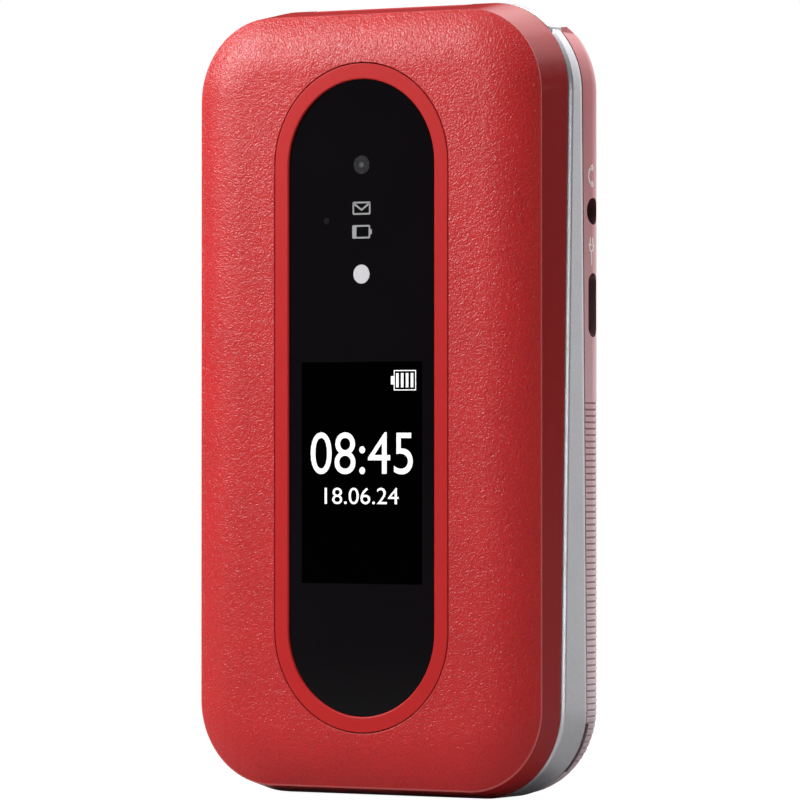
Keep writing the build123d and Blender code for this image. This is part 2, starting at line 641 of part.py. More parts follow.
# ---- hinge ----
def make_hinge_barrel():
    """The base's barrel, on a neck that is screwed under the keypad deck."""
    neck_high = -PARTING_GAP - FIT_GAP
    neck_low = neck_high - NECK_THICK
    half = BARREL_HALF - NECK_SETBACK
    body = hinge_rod(BARREL_R, -BARREL_HALF, BARREL_HALF)
    body += deck_block(-half, half, BAY_V + FIT_GAP, AXIS_V, neck_low, neck_high)
    tongue_high = neck_low + TONGUE_THICK
    tongue_low_v = BAY_V - TONGUE_LENGTH
    body += deck_block(-half, half, tongue_low_v, BAY_V + NECK_THICK, neck_low, tongue_high)
    body -= hinge_rod(CASE_R + SNUG_GAP, -BARREL_HALF - CUT, CASE_END_X)
    body -= hinge_rod(CASE_R, CASE_END_X, PIN_START_X)
    body -= hinge_rod(PIN_R + SNUG_GAP, PIN_START_X, BARREL_HALF + CUT)
    slot_start = CASE_END_X + FLEX_MARGIN
    slot_end = PIN_START_X - FLEX_MARGIN
    return body - deck_block(slot_start, slot_end, BAY_V, AXIS_V, tongue_high, tongue_high + FLEX_SLOT)


def make_hinge_case():
    case = hinge_rod(CASE_R, CASE_START_X, CASE_END_X)
    case -= hinge_rod(CASE_R - CASE_WALL, CASE_START_X + CASE_WALL, CASE_END_X - CASE_WALL)
    return case - hinge_rod(SHAFT_R + RUN_GAP, CASE_START_X - CUT, CASE_START_X + CUT)


def make_hinge_cam():
    start = CASE_START_X + CASE_WALL + FIT_GAP
    cam = hinge_rod(CASE_R - CASE_WALL - RUN_GAP, start, start + CAM_LENGTH)
    return cam - hinge_rod(SHAFT_R + RUN_GAP, start - CUT, start + CAM_LENGTH + CUT)


def make_hinge_spring():
    seat_gap = SPRING_WIRE / 2 + SPRING_SEAT_GAP
    start = CASE_START_X + CASE_WALL + FIT_GAP + CAM_LENGTH + seat_gap
    end = CASE_END_X - CASE_WALL - seat_gap
    pitch = (end - start) / SPRING_TURNS
    path = Helix(pitch, end - start, SPRING_R)
    wire = Plane(origin=path @ 0, x_dir=(1, 0, 0), z_dir=path % 0) * Rectangle(SPRING_WIRE, SPRING_WIRE)
    coil = sweep(wire, path, is_frenet=True)
    return PARTING * Pos(start, AXIS_V, 0) * Rot(0, 90, 0) * coil


def make_hinge_shaft():
    """The cartridge's shaft, keyed into the lid's left knuckle."""
    key_end = -BARREL_HALF - KNUCKLE_GAP
    shaft = hinge_rod(SHAFT_KEY_R, key_end - SHAFT_KEY_LENGTH + FIT_GAP, key_end)
    return shaft + hinge_rod(SHAFT_R, key_end - CUT, SHAFT_END_X)


def make_hinge_pin():
    pin = hinge_rod(PIN_R, PIN_START_X, PIN_END_X)
    return pin - hinge_rod(PIN_R / 2, PIN_START_X - CUT, PIN_END_X + CUT)


def make_base_flex():
    """Ribbon coiled in the barrel, with its tail under the deck to the main board."""
    x_low = CASE_END_X + FLEX_MARGIN + FIT_GAP
    x_high = PIN_START_X - FLEX_MARGIN - FIT_GAP
    coil_r = CASE_R - 2 * FIT_GAP
    coil = hinge_rod(coil_r, x_low, x_high) - hinge_rod(coil_r - FLEX_COIL_THICK, x_low - CUT, x_high + CUT)
    tail_low = -PARTING_GAP - FIT_GAP - NECK_THICK + TONGUE_THICK + FIT_GAP / 2
    tail = deck_block(x_low, x_high, BOARD_HIGH_V, AXIS_V, tail_low, tail_low + FLEX_THICK)
    return coil + (tail - hinge_rod(coil_r - FLEX_COIL_THICK / 2, x_low - CUT, x_high + CUT))


# ---- silver frame ----
def key_places():
    """Name, width, height, corner, x and v of each key that travels straight."""
    names = ["key_star", "key_0", "key_hash", "key_7", "key_8", "key_9"]
    names += ["key_4", "key_5", "key_6", "key_1", "key_2", "key_3"]
    places = []
    for index, name in enumerate(names):
        x = (index % KEY_COLUMNS - (KEY_COLUMNS - 1) / 2) * KEY_PITCH_X
        v = KEY_LOW_V + index // KEY_COLUMNS * KEY_PITCH_V
        places.append((name, KEY_WIDTH, KEY_HEIGHT, KEY_CORNER, x, v))
    for name, side, v in (
        ("call_key", -1, CALL_V),
        ("end_key", 1, CALL_V),
        ("soft_key_left", -1, SOFT_V),
        ("soft_key_right", 1, SOFT_V),
    ):
        places.append((name, KEY_WIDTH, SIDE_KEY_HEIGHT, KEY_CORNER, side * KEY_PITCH_X, v))
    return places


def base_screw_places():
    places = []
    for side in (-1, 1):
        places.append((side * (BODY_WIDTH / 2 - BASE_SCREW_LOW_SIDE), BASE_SCREW_RISE - MID_Z))
        places.append((side * (BODY_WIDTH / 2 - BASE_SCREW_HIGH_SIDE), MID_Z - BASE_SCREW_DROP))
    return places


def volume_place(x=0.0):
    return Pos(x, VOLUME_Y, BODY_HEIGHT - VOLUME_DROP)


def volume_dish():
    """Shallow finger dish round the volume rocker, as a big cylinder that grazes the left side."""
    half_chord = VOLUME_LENGTH / 2 + VOLUME_DISH_MARGIN
    radius = (half_chord**2 + VOLUME_DISH**2) / (2 * VOLUME_DISH)
    tool = Cylinder(radius, VOLUME_DISH_WIDTH)
    return volume_place(-BODY_WIDTH / 2 + VOLUME_DISH - radius) * Rot(90, 0, 0) * tool


def make_silver_frame():
    whole = panel(outline(), FRONT_Y, BACK_Y) & behind(PARTING, -HALF_GAP) & in_front(SEAM)
    frame = rear_bevel(chamfer(front_edges(whole), FRAME_FRONT_CHAMFER))
    frame -= layer(outline(FRAME_WALL), -FAR, DECK_LOW)
    frame -= layer(outline(FRAME_WALL + FIT_GAP), DECK_HIGH, FAR)
    for name, width, height, corner, x, v in key_places():
        hole = RectangleRounded(width + 2 * KEY_GAP, height + 2 * KEY_GAP, corner + KEY_GAP)
        frame -= layer(hole, DECK_LOW - CUT, DECK_HIGH + CUT, x, v)
    nav = RectangleRounded(KEY_WIDTH + 2 * KEY_GAP, NAV_HEIGHT + 2 * KEY_GAP, NAV_CORNER + KEY_GAP)
    frame -= layer(nav, DECK_LOW - CUT, DECK_HIGH + CUT, v=NAV_V)
    for x, v in base_screw_places():
        boss = layer(Circle(BOSS_R), CHASSIS_FRONT + FIT_GAP, DECK_LOW + FIT_GAP, x, v)
        frame += boss - layer(Circle(SCREW_R + SCREW_PILOT_GAP), -FAR, DECK_LOW, x, v)
    frame -= deck_block(-BAY_HALF, BAY_HALF, BAY_V, FAR, -FAR, FAR)
    frame -= volume_dish()
    slot = Box(4 * FRAME_WALL, VOLUME_WIDTH + 2 * FIT_GAP, VOLUME_LENGTH + 2 * KEY_GAP)
    frame -= volume_place(-BODY_WIDTH / 2) * slot
    inner_x = -FRAME_INNER_HALF
    pocket_x = inner_x + VOLUME_SKIRT_GAP + VOLUME_SKIRT_THICK + 2 * KEY_GAP
    half_y = VOLUME_WIDTH / 2 + FIT_GAP
    half_z = VOLUME_LENGTH / 2 + VOLUME_SKIRT + KEY_GAP
    pocket = block(inner_x, pocket_x, -half_y, half_y, -half_z, half_z)
    return frame - volume_place() * pocket


def rear_bevel(whole):
    """Trims the rear outer edge by a long shallow bevel, as the overlap with a block that widens forward."""
    rise = BODY_DEPTH / 2
    spread = rise * FRAME_REAR_SETBACK / FRAME_REAR_CHAMFER - FRAME_REAR_SETBACK
    wide = SEAM * Pos(0, 0, rise) * outline(-spread)
    return whole & loft([SEAM * outline(FRAME_REAR_SETBACK), wide], ruled=True)


# ---- keys ----
def make_key(width, height, corner, x, v):
    top = DECK_HIGH + KEY_PROUD
    cap = layer(RectangleRounded(width, height, corner), SKIRT_HIGH, top, x, v)
    cap = chamfer(cap.faces().sort_by(Axis.Y)[0].edges(), KEY_EDGE)
    skirt = RectangleRounded(width + 2 * KEY_SKIRT, height + 2 * KEY_SKIRT, corner + KEY_SKIRT)
    return cap + layer(skirt, SKIRT_LOW, SKIRT_HIGH, x, v)


def make_nav_rocker():
    top = DECK_HIGH + KEY_PROUD
    shape = RectangleRounded(KEY_WIDTH, NAV_HEIGHT, NAV_CORNER)
    cap = layer(shape, SKIRT_HIGH - KEY_SKIRT_THICK / 2, top, v=NAV_V)
    cap = chamfer(cap.faces().sort_by(Axis.Y)[0].edges(), KEY_EDGE)
    skirt = Rectangle(KEY_WIDTH + 2 * KEY_SKIRT, 2 * NAV_PIVOT_HALF)
    pivot_high = DECK_LOW - KEY_GAP
    return cap + layer(skirt, pivot_high - KEY_SKIRT_THICK / 2, pivot_high, v=NAV_V)


def make_keypad_membrane():
    width = 2 * (FRAME_INNER_HALF - MEMBRANE_MARGIN)
    sheet = deck_block(-width / 2, width / 2, BOARD_LOW_V, BOARD_HIGH_V, MEMBRANE_LOW, MEMBRANE_HIGH)
    for x, v in base_screw_places():
        sheet -= layer(Circle(BOSS_R + FIT_GAP), -FAR, 0, x, v)
    return sheet


def make_key_domes():
    places = [(x, v) for name, width, height, corner, x, v in key_places()]
    places += [(0, NAV_V + side * NAV_HEIGHT / 3) for side in (-1, 1)]
    return Compound([layer(Circle(DOME_R), BOARD_HIGH, BOARD_HIGH + DOME_THICK, x, v) for x, v in places])


# ---- boards and modules ----
def make_main_board():
    board = deck_block(-BOARD_WIDTH / 2, BOARD_WIDTH / 2, BOARD_LOW_V, BOARD_HIGH_V, BOARD_LOW, BOARD_HIGH)
    for x, v in base_screw_places():
        board -= layer(Circle(BOSS_R + FIT_GAP), -FAR, 0, x, v)
    return board


def make_shield_cans():
    cans = []
    start = CAN_SIDE - BOARD_WIDTH / 2
    next_start = start + CAN_WIDTH + CAN_SPACE
    v = MID_Z - CAN_DROP - CAN_HEIGHT / 2
    for x_low, x_high in ((start, start + CAN_WIDTH), (next_start, jack_box()[0] - CAN_JACK_GAP)):
        lid = RectangleRounded(x_high - x_low, CAN_HEIGHT, CAN_CORNER)
        cans.append(layer(lid, BOARD_LOW - CAN_THICK, BOARD_LOW, (x_low + x_high) / 2, v))
    return Compound(cans)


def make_microphone():
    capsule = RectangleRounded(MICROPHONE_SIZE, MICROPHONE_SIZE, MICROPHONE_CORNER)
    return layer(capsule, BOARD_LOW - MICROPHONE_THICK, BOARD_LOW, MICROPHONE_X, MICROPHONE_RISE - MID_Z)


def jack_box(gap=0.0):
    half_y = JACK_BODY / 2 + gap
    half_z = half_y + JACK_SHOULDER
    x_low = SOCKET_FACE_X - JACK_LENGTH - JACK_BACK - gap
    return x_low, SOCKET_FACE_X, SOCKET_Y - half_y, SOCKET_Y + half_y, JACK_Z - half_z, JACK_Z + half_z


def usb_box(gap=0.0):
    half_z = USB_MOUTH_LENGTH / 2 + USB_WALL + gap
    half_y = USB_MOUTH_WIDTH / 2 + USB_WALL + gap
    x_low = SOCKET_FACE_X - USB_LENGTH - gap
    return x_low, SOCKET_FACE_X, SOCKET_Y - half_y, SOCKET_Y + half_y, USB_Z - half_z, USB_Z + half_z


def on_board_foot(x_low, z_low, z_high):
    """A foot from a socket forward to the main board's rear face."""
    x_high = min(SOCKET_FACE_X - SEAT_SETBACK, BOARD_WIDTH / 2)
    foot = block(x_low + SEAT_MARGIN, x_high, FRONT_Y, SOCKET_Y, z_low + SEAT_MARGIN, z_high - SEAT_MARGIN)
    return foot & behind(PARTING, BOARD_LOW)


def make_headphone_socket():
    x_low, x_high, y_low, y_high, z_low, z_high = jack_box()
    body = (block(*jack_box()) & chassis_form()) + on_board_foot(x_low, z_low, z_high)
    return body - side_rod(JACK_R, SOCKET_FACE_X - JACK_LENGTH, SOCKET_FACE_X + CUT, SOCKET_Y, JACK_Z)


def make_usb_socket():
    x_low, x_high, y_low, y_high, z_low, z_high = usb_box()
    body = (block(*usb_box()) & chassis_form()) + on_board_foot(x_low, z_low, z_high)
    mouth = SlotOverall(USB_MOUTH_LENGTH, USB_MOUTH_WIDTH, rotation=90)
    place = Plane(origin=(SOCKET_FACE_X - USB_DEPTH, SOCKET_Y, USB_Z), x_dir=(0, 1, 0), z_dir=(1, 0, 0))
    body -= place * extrude(mouth, USB_DEPTH + CUT)
    tongue = Rectangle(USB_TONGUE_THICK, USB_TONGUE_LENGTH)
    return body + place * extrude(tongue, USB_TONGUE_REACH)


def make_loudspeaker():
    back_y = CHASSIS_BACK_Y - CHASSIS_BACK_WALL
    module = RectangleRounded(SPEAKER_WIDTH, SPEAKER_HEIGHT, SPEAKER_CORNER)
    return panel(module, back_y - SPEAKER_THICK, back_y, SPEAKER_X, SPEAKER_Z)


def make_vibration_motor():
    y = CHASSIS_BACK_Y - CHASSIS_BACK_WALL - MOTOR_R - FIT_GAP / 2
    z = BODY_HEIGHT - MOTOR_DROP
    return side_rod(MOTOR_R, MOTOR_X - MOTOR_LENGTH / 2, MOTOR_X + MOTOR_LENGTH / 2, y, z)


def make_battery():
    middle_z = BAY_RISE + BAY_SIDE_GAP + BATTERY_HEIGHT / 2
    shape = RectangleRounded(BATTERY_WIDTH, BATTERY_HEIGHT, BATTERY_CORNER)
    pack = panel(shape, BATTERY_FRONT_Y, BATTERY_FRONT_Y + BATTERY_THICK, z=middle_z)
    return chamfer(front_edges(pack) + back_edges(pack), BATTERY_EDGE)


def make_battery_contacts():
    z_low = BAY_RISE + BATTERY_HEIGHT + 2 * BAY_SIDE_GAP
    half = CONTACT_WIDTH / 2
    body = block(-half, half, BAY_FLOOR_Y, BAY_FLOOR_Y + CONTACT_THICK, z_low + CONTACT_REACH, BAY_HIGH_Z)
    pitch = CONTACT_WIDTH / CONTACT_FINGERS
    y_low = BAY_FLOOR_Y + (CONTACT_THICK - CONTACT_FINGER_THICK) / 2
    for index in range(CONTACT_FINGERS):
        x_low = (index - (CONTACT_FINGERS - 1) / 2) * pitch - CONTACT_FINGER / 2
        x_high = x_low + CONTACT_FINGER
        body += block(x_low, x_high, y_low, y_low + CONTACT_FINGER_THICK, z_low, BAY_HIGH_Z)
    return body


def card_box(gap=0.0):
    half_x = CARD_WIDTH / 2 + gap
    half_z = CARD_HEIGHT / 2 + gap
    y_low = CHASSIS_BACK_Y - CARD_THICK
    z = BODY_HEIGHT - CARD_DROP
    return CARD_X - half_x, CARD_X + half_x, y_low, CHASSIS_BACK_Y, z - half_z, z + half_z


def make_card_slots():
    x_low, x_high, y_low, y_high, z_low, z_high = card_box()
    wall = (CARD_THICK - CARD_SLOT) / 2
    slot_x = x_low + CARD_RIM, x_high - CARD_RIM
    slot_z = z_low - CUT, z_high - CARD_RIM
    return block(*card_box()) - block(*slot_x, y_low + wall, y_high - wall, *slot_z)


def make_antenna():
    z = (CHASSIS_INSET + CHASSIS_BACK_R + BAY_RISE) / 2
    foil = Rectangle(ANTENNA_WIDTH, ANTENNA_HEIGHT)
    return panel(foil, CHASSIS_BACK_Y, CHASSIS_BACK_Y + ANTENNA_THICK, z=z)


# ---- chassis ----
def help_pocket():
    """Space for the assistance button's skirt."""
    pocket = Circle(HELP_R + HELP_SKIRT + HELP_POCKET_GAP)
    return panel(pocket, CHASSIS_BACK_Y - HELP_POCKET_DEPTH, BACK_Y, z=HELP_Z)


def chassis_form():
    """The chassis before it is hollowed, as it fits inside the battery cover."""
    shape = RectangleRounded(CHASSIS_WIDTH, CHASSIS_HEIGHT, CHASSIS_CORNER)
    body = panel(shape, FRONT_Y, CHASSIS_BACK_Y)
    body = fillet(back_edges(body), CHASSIS_BACK_R)
    body &= behind(PARTING, CHASSIS_FRONT)
    body -= deck_block(-FAR, FAR, BAY_V, FAR, -FAR, FAR)
    return body


def battery_bay():
    """The open bay for the battery, and the hollows beside it and in front of it that keep the walls thin."""
    inner_half = CHASSIS_WIDTH / 2 - CHASSIS_SIDE_WALL
    bay_half = BATTERY_WIDTH / 2 + BAY_SIDE_GAP
    floor_y = BAY_FLOOR_Y - CHASSIS_FLOOR
    bay = block(-bay_half, bay_half, BAY_FLOOR_Y, BACK_Y, BAY_RISE, BAY_HIGH_Z)
    bay += block(-inner_half, inner_half, FRONT_Y, floor_y, BAY_RISE, BAY_HIGH_Z)
    back_y = CHASSIS_BACK_Y - CHASSIS_BACK_WALL - SIDE_POCKET_WALL
    z_low = BAY_RISE + SIDE_POCKET_WALL
    z_high = BAY_HIGH_Z - CHASSIS_SIDE_WALL
    for side in (-1, 1):
        ends = sorted([side * (bay_half + CHASSIS_SIDE_WALL), side * inner_half])
        bay += block(*ends, floor_y - CUT, back_y, z_low, z_high)
    return bay


def upper_hollow():
    """The space above the battery, for the sockets, the loudspeaker and the vibration motor."""
    low_z = BAY_HIGH_Z + CHASSIS_SIDE_WALL
    top_z = MID_Z + BAY_V - CHASSIS_SIDE_WALL
    shape = Rectangle(CHASSIS_WIDTH - 2 * CHASSIS_SIDE_WALL, top_z - low_z)
    hollow = panel(shape, FRONT_Y, CHASSIS_BACK_Y - CHASSIS_BACK_WALL, z=(low_z + top_z) / 2)
    return fillet(back_edges(hollow), CHASSIS_HOLLOW_R)


def make_inner_chassis():
    form = chassis_form()
    body = form - upper_hollow() - battery_bay()
    seat = CHASSIS_FRONT - SCREW_SEAT
    for x, v in base_screw_places():
        body += layer(Circle(BOSS_R), -BODY_DEPTH, CHASSIS_FRONT, x, v) & form
        body -= layer(Circle(SCREW_R + FIT_GAP / 2), seat - CUT, FAR, x, v)
        body -= layer(Circle(SCREW_HEAD_R + FIT_GAP), -BODY_DEPTH, seat, x, v)
    for x_low, x_high, y_low, y_high, z_low, z_high in (jack_box(FIT_GAP), usb_box(FIT_GAP)):
        body -= block(x_low, FAR, y_low, y_high, z_low, z_high)
    x_low, x_high, y_low, y_high, z_low, z_high = card_box(FIT_GAP / 2)
    body -= block(x_low, x_high, y_low, FAR, z_low, z_high)
    return body - help_pocket()


def make_base_screws():
    screws = []
    seat = CHASSIS_FRONT - SCREW_SEAT
    for x, v in base_screw_places():
        screw = layer(Circle(SCREW_HEAD_R), seat - SCREW_HEAD_HEIGHT, seat, x, v)
        screw += layer(Circle(SCREW_R), seat, seat + BASE_SCREW_LENGTH, x, v)
        screws.append(screw)
    return Compound(screws)


# ---- battery cover ----
def cover_block(inset, back_y):
    shape = RectangleRounded(COVER_WIDTH - 2 * inset, COVER_HEIGHT - 2 * inset, COVER_CORNER - inset)
    return fillet(back_edges(panel(shape, 0, back_y)), COVER_EDGE_R - inset)


def make_battery_cover():
    cover = (cover_block(0, BACK_Y) - cover_block(COVER_WALL, COVER_INNER_Y)) & behind(SEAM, -FIT_GAP)
    top = MID_Z + AXIS_V + COVER_TOP_RISE
    cover -= block(-BAY_HALF, BAY_HALF, -FAR, FAR, top, 2 * FAR)
    cover -= hinge_rod(LID_SWEEP_R, -BAY_HALF, BAY_HALF)
    cover -= side_rod(JACK_R, 0, FAR, SOCKET_Y, JACK_Z)
    mouth = SlotOverall(USB_MOUTH_LENGTH + 2 * PORT_GAP, USB_MOUTH_WIDTH + 2 * PORT_GAP, rotation=90)
    cover -= Plane(origin=(0, SOCKET_Y, USB_Z), x_dir=(0, 1, 0), z_dir=(1, 0, 0)) * extrude(mouth, FAR)
    cover -= panel(Circle(HELP_R + KEY_GAP), 0, FAR, z=HELP_Z)
    for index in range(GRILLE_SLOTS):
        z = SPEAKER_Z + (index - (GRILLE_SLOTS - 1) / 2) * GRILLE_PITCH
        cover -= panel(SlotOverall(GRILLE_SLOT_LENGTH, GRILLE_SLOT_WIDTH), 0, FAR, SPEAKER_X, z)
    notch = Box(2 * NOTCH_REACH, NOTCH_LENGTH, 2 * NOTCH_DEPTH)
    return cover - SEAM * Pos(BODY_WIDTH / 2, NOTCH_RISE - MID_Z, 0) * notch


# ---- side rocker and rear button ----
def make_volume_rocker():
    skirt_x = VOLUME_SKIRT_GAP - FRAME_INNER_HALF
    half_y = VOLUME_WIDTH / 2
    half_z = VOLUME_LENGTH / 2
    cap = block(-BODY_WIDTH / 2, skirt_x, -half_y, half_y, -half_z, half_z)
    cap = fillet(cap.edges().filter_by(Axis.X), VOLUME_ROUND)
    cap = chamfer(cap.faces().sort_by(Axis.X)[0].edges(), VOLUME_EDGE)
    half_z += VOLUME_SKIRT
    skirt = block(skirt_x, skirt_x + VOLUME_SKIRT_THICK, -half_y, half_y, -half_z, half_z)
    return volume_place() * (cap + skirt)


def make_assistance_button():
    skirt_back = COVER_INNER_Y - FIT_GAP - HELP_SINK
    cap = panel(Circle(HELP_R), skirt_back, BACK_Y - HELP_SINK, z=HELP_Z)
    cap = chamfer(back_edges(cap), HELP_EDGE)
    cap += panel(Circle(HELP_R + HELP_SKIRT), skirt_back - HELP_SKIRT_THICK, skirt_back, z=HELP_Z)
    return cap - Pos(0, BACK_Y - HELP_SINK - HELP_DISH + HELP_DISH_R, HELP_Z) * Sphere(HELP_DISH_R)


def all_parts():
    """Every node's name and solid."""
    parts = {
        "lid_outer_shell": make_lid_outer_shell(),
        "window_bezel": make_window_bezel(),
        "outer_window": make_outer_window(),
        "outer_display": make_outer_display(),
        "camera_module": make_camera_module(),
        "outer_lights": make_outer_lights(),
        "lid_circuit_board": make_lid_circuit_board(),
        "lid_inner_frame": make_lid_inner_frame(),
        "main_window": make_main_window(),
        "main_display": make_main_display(),
        "earpiece": make_earpiece(),
        "earpiece_mesh": make_earpiece_mesh(),
        "lid_magnet": make_lid_magnet(),
        "lid_screws": make_lid_screws(),
        "lid_bumpers": make_lid_bumpers(),
        "lid_flex": make_lid_flex(),
        "hinge_end_caps": make_hinge_end_caps(),
        "hinge_shaft": make_hinge_shaft(),
        "hinge_barrel": make_hinge_barrel(),
        "hinge_case": make_hinge_case(),
        "hinge_cam": make_hinge_cam(),
        "hinge_spring": make_hinge_spring(),
        "hinge_pin": make_hinge_pin(),
        "base_flex": make_base_flex(),
        "silver_frame": make_silver_frame(),
        "inner_chassis": make_inner_chassis(),
        "main_board": make_main_board(),
        "shield_cans": make_shield_cans(),
        "keypad_membrane": make_keypad_membrane(),
        "key_domes": make_key_domes(),
        "microphone": make_microphone(),
        "headphone_socket": make_headphone_socket(),
        "usb_socket": make_usb_socket(),
        "loudspeaker": make_loudspeaker(),
        "vibration_motor": make_vibration_motor(),
        "battery": make_battery(),
        "battery_contacts": make_battery_contacts(),
        "card_slots": make_card_slots(),
        "antenna": make_antenna(),
        "base_screws": make_base_screws(),
        "battery_cover": make_battery_cover(),
        "nav_rocker": make_nav_rocker(),
        "volume_rocker": make_volume_rocker(),
        "assistance_button": make_assistance_button(),
    }
    for name, width, height, corner, x, v in key_places():
        parts[name] = make_key(width, height, corner, x, v)
    return parts


os.makedirs("parts", exist_ok=True)
for node, solid in all_parts().items():
    export_step(solid, f"parts/{node}.step")
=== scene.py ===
import math

import bmesh
import bpy
from mathutils import Matrix, Vector


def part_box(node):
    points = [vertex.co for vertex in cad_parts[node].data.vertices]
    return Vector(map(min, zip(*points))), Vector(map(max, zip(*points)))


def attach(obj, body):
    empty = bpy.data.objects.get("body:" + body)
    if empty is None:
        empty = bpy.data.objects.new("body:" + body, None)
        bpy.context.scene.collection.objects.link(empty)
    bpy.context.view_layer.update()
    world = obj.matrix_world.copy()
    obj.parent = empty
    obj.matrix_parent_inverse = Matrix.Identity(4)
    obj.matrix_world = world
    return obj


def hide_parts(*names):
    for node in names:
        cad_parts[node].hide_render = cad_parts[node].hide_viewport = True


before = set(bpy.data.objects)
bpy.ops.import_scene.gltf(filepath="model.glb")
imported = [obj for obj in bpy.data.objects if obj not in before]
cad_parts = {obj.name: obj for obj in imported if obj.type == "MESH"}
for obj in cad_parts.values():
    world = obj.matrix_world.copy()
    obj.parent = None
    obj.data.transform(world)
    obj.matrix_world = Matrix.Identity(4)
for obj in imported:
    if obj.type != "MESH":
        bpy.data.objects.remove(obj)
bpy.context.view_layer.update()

# Lengths are in millimetres unless a comment says metres, and MM turns them into metres.
MM = 0.001


def node_box(node):
    """Lowest and highest corner of a CAD node at rest, in millimetres."""
    return [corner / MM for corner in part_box(node)]


def middle_z(node):
    low, high = node_box(node)
    return (low.z + high.z) / 2


# ---- sizes shared with the CAD model ----
MID_Z = 53.0
PARTING_Y = -2.1
PARTING_TILT = math.radians(1.44)
FRONT_EDGE_Y = -7.5
KEY_TOP = -0.2
KEY_PITCH_X = 16.2
KEY_ROWS_V = (-40.0, -29.0, -18.0, -7.0)
CALL_V = 7.5
SOFT_V = 19.5
NAV_V = 13.5
INNER_WINDOW_V = -1.0
INNER_WINDOW_W = 0.2
COVER_CORNER = 11.8
COVER_EDGE_R = 4.6

# ---- places read from the frame ----
GLASS_Y = node_box("outer_window")[0].y
CAMERA_Z = middle_z("camera_module")
LIGHTS_LOW, LIGHTS_HIGH = node_box("outer_lights")
DISPLAY_LOW, DISPLAY_HIGH = node_box("outer_display")
COVER_LOW, COVER_HIGH = node_box("battery_cover")
COVER_HALF_WIDTH = COVER_HIGH.x
COVER_HALF_HEIGHT = MID_Z - COVER_LOW.z
COVER_BACK_Y = COVER_HIGH.y
HEADPHONE_Z = middle_z("headphone_socket")
USB_Z = middle_z("usb_socket")

# ---- marks on the window ----
MARK_THICK = 0.03
CAMERA_DOT_R = 1.24
FLASH_DOT_R = 1.27
FLASH_DOT_THICK = 0.06
FLASH_LAMP_HALF = 1.5
FLASH_Z = LIGHTS_LOW.z + FLASH_LAMP_HALF
SENSOR_R = 0.45
SENSOR_X = -5.5
SENSOR_Z = 77.0
ICON_HALF_WIDTH = 1.4
ICON_LINE = 0.23
ICON_PITCH = 3.15
ICON_TOP_MARGIN = 0.9
ENVELOPE_HALF_HEIGHT = 0.87
BATTERY_HALF_HEIGHT = 0.9
ENVELOPE_Z = LIGHTS_HIGH.z - ICON_TOP_MARGIN
BATTERY_X = -0.05
BATTERY_Z = ENVELOPE_Z - ICON_PITCH

# ---- outer screen ----
SCREEN_SIDE_MARGIN = 0.57
SCREEN_END_MARGIN = 1.7
SCREEN_THICK = 0.02
SCREEN_MARK_Y = GLASS_Y - 0.01
CLOCK_HEIGHT = 5.6
CLOCK_Z = 45.9
DATE_HEIGHT = 2.2
DATE_Z = 40.2

# ---- fine grooves between the ribs of the battery cover ----
# The mouth and floor are half widths. Points within GROOVE_REACH of a groove's middle are sunk to its
# floor, where they lie within SKIN_REACH of the cover's outer form.
RIB_PITCH = 0.85
RIB_DEPTH = 0.08
RIB_START = 4.5
RIB_COUNT = 57
GROOVE_MOUTH = 0.15
GROOVE_FLOOR = 0.08
GROOVE_REACH = 0.1
SKIN_REACH = 0.03

# ---- marks beside the sockets and on the keys ----
PORT_MARK_Y = 4.75
HEADPHONE_MARK_Z = HEADPHONE_Z + 4.7
PLUG_MARK_Z = USB_Z + 7.7
NUMERAL_HEIGHT = 3.9
INNER_SCREEN_HALF_WIDTH = 23.0
INNER_SCREEN_HALF_HEIGHT = 30.0
INNER_SCREEN_W = INNER_WINDOW_W - 0.005

# ---- view of the photo ----
PHOTO_YAW = math.radians(31.3)
PHOTO_PITCH = math.radians(0.486)
PHOTO_DISTANCE = 755.0
PHOTO_SIDE_STEP = 5.13
PHOTO_HEIGHT = 46.6
PHOTO_LENS = 254.7
PHOTO_SENSOR = 36.0

# ---- floor, in metres ----
FLOOR_HALF = 3.0
FLOOR_NEAR = 0.08
FLOOR_FAR = 0.35


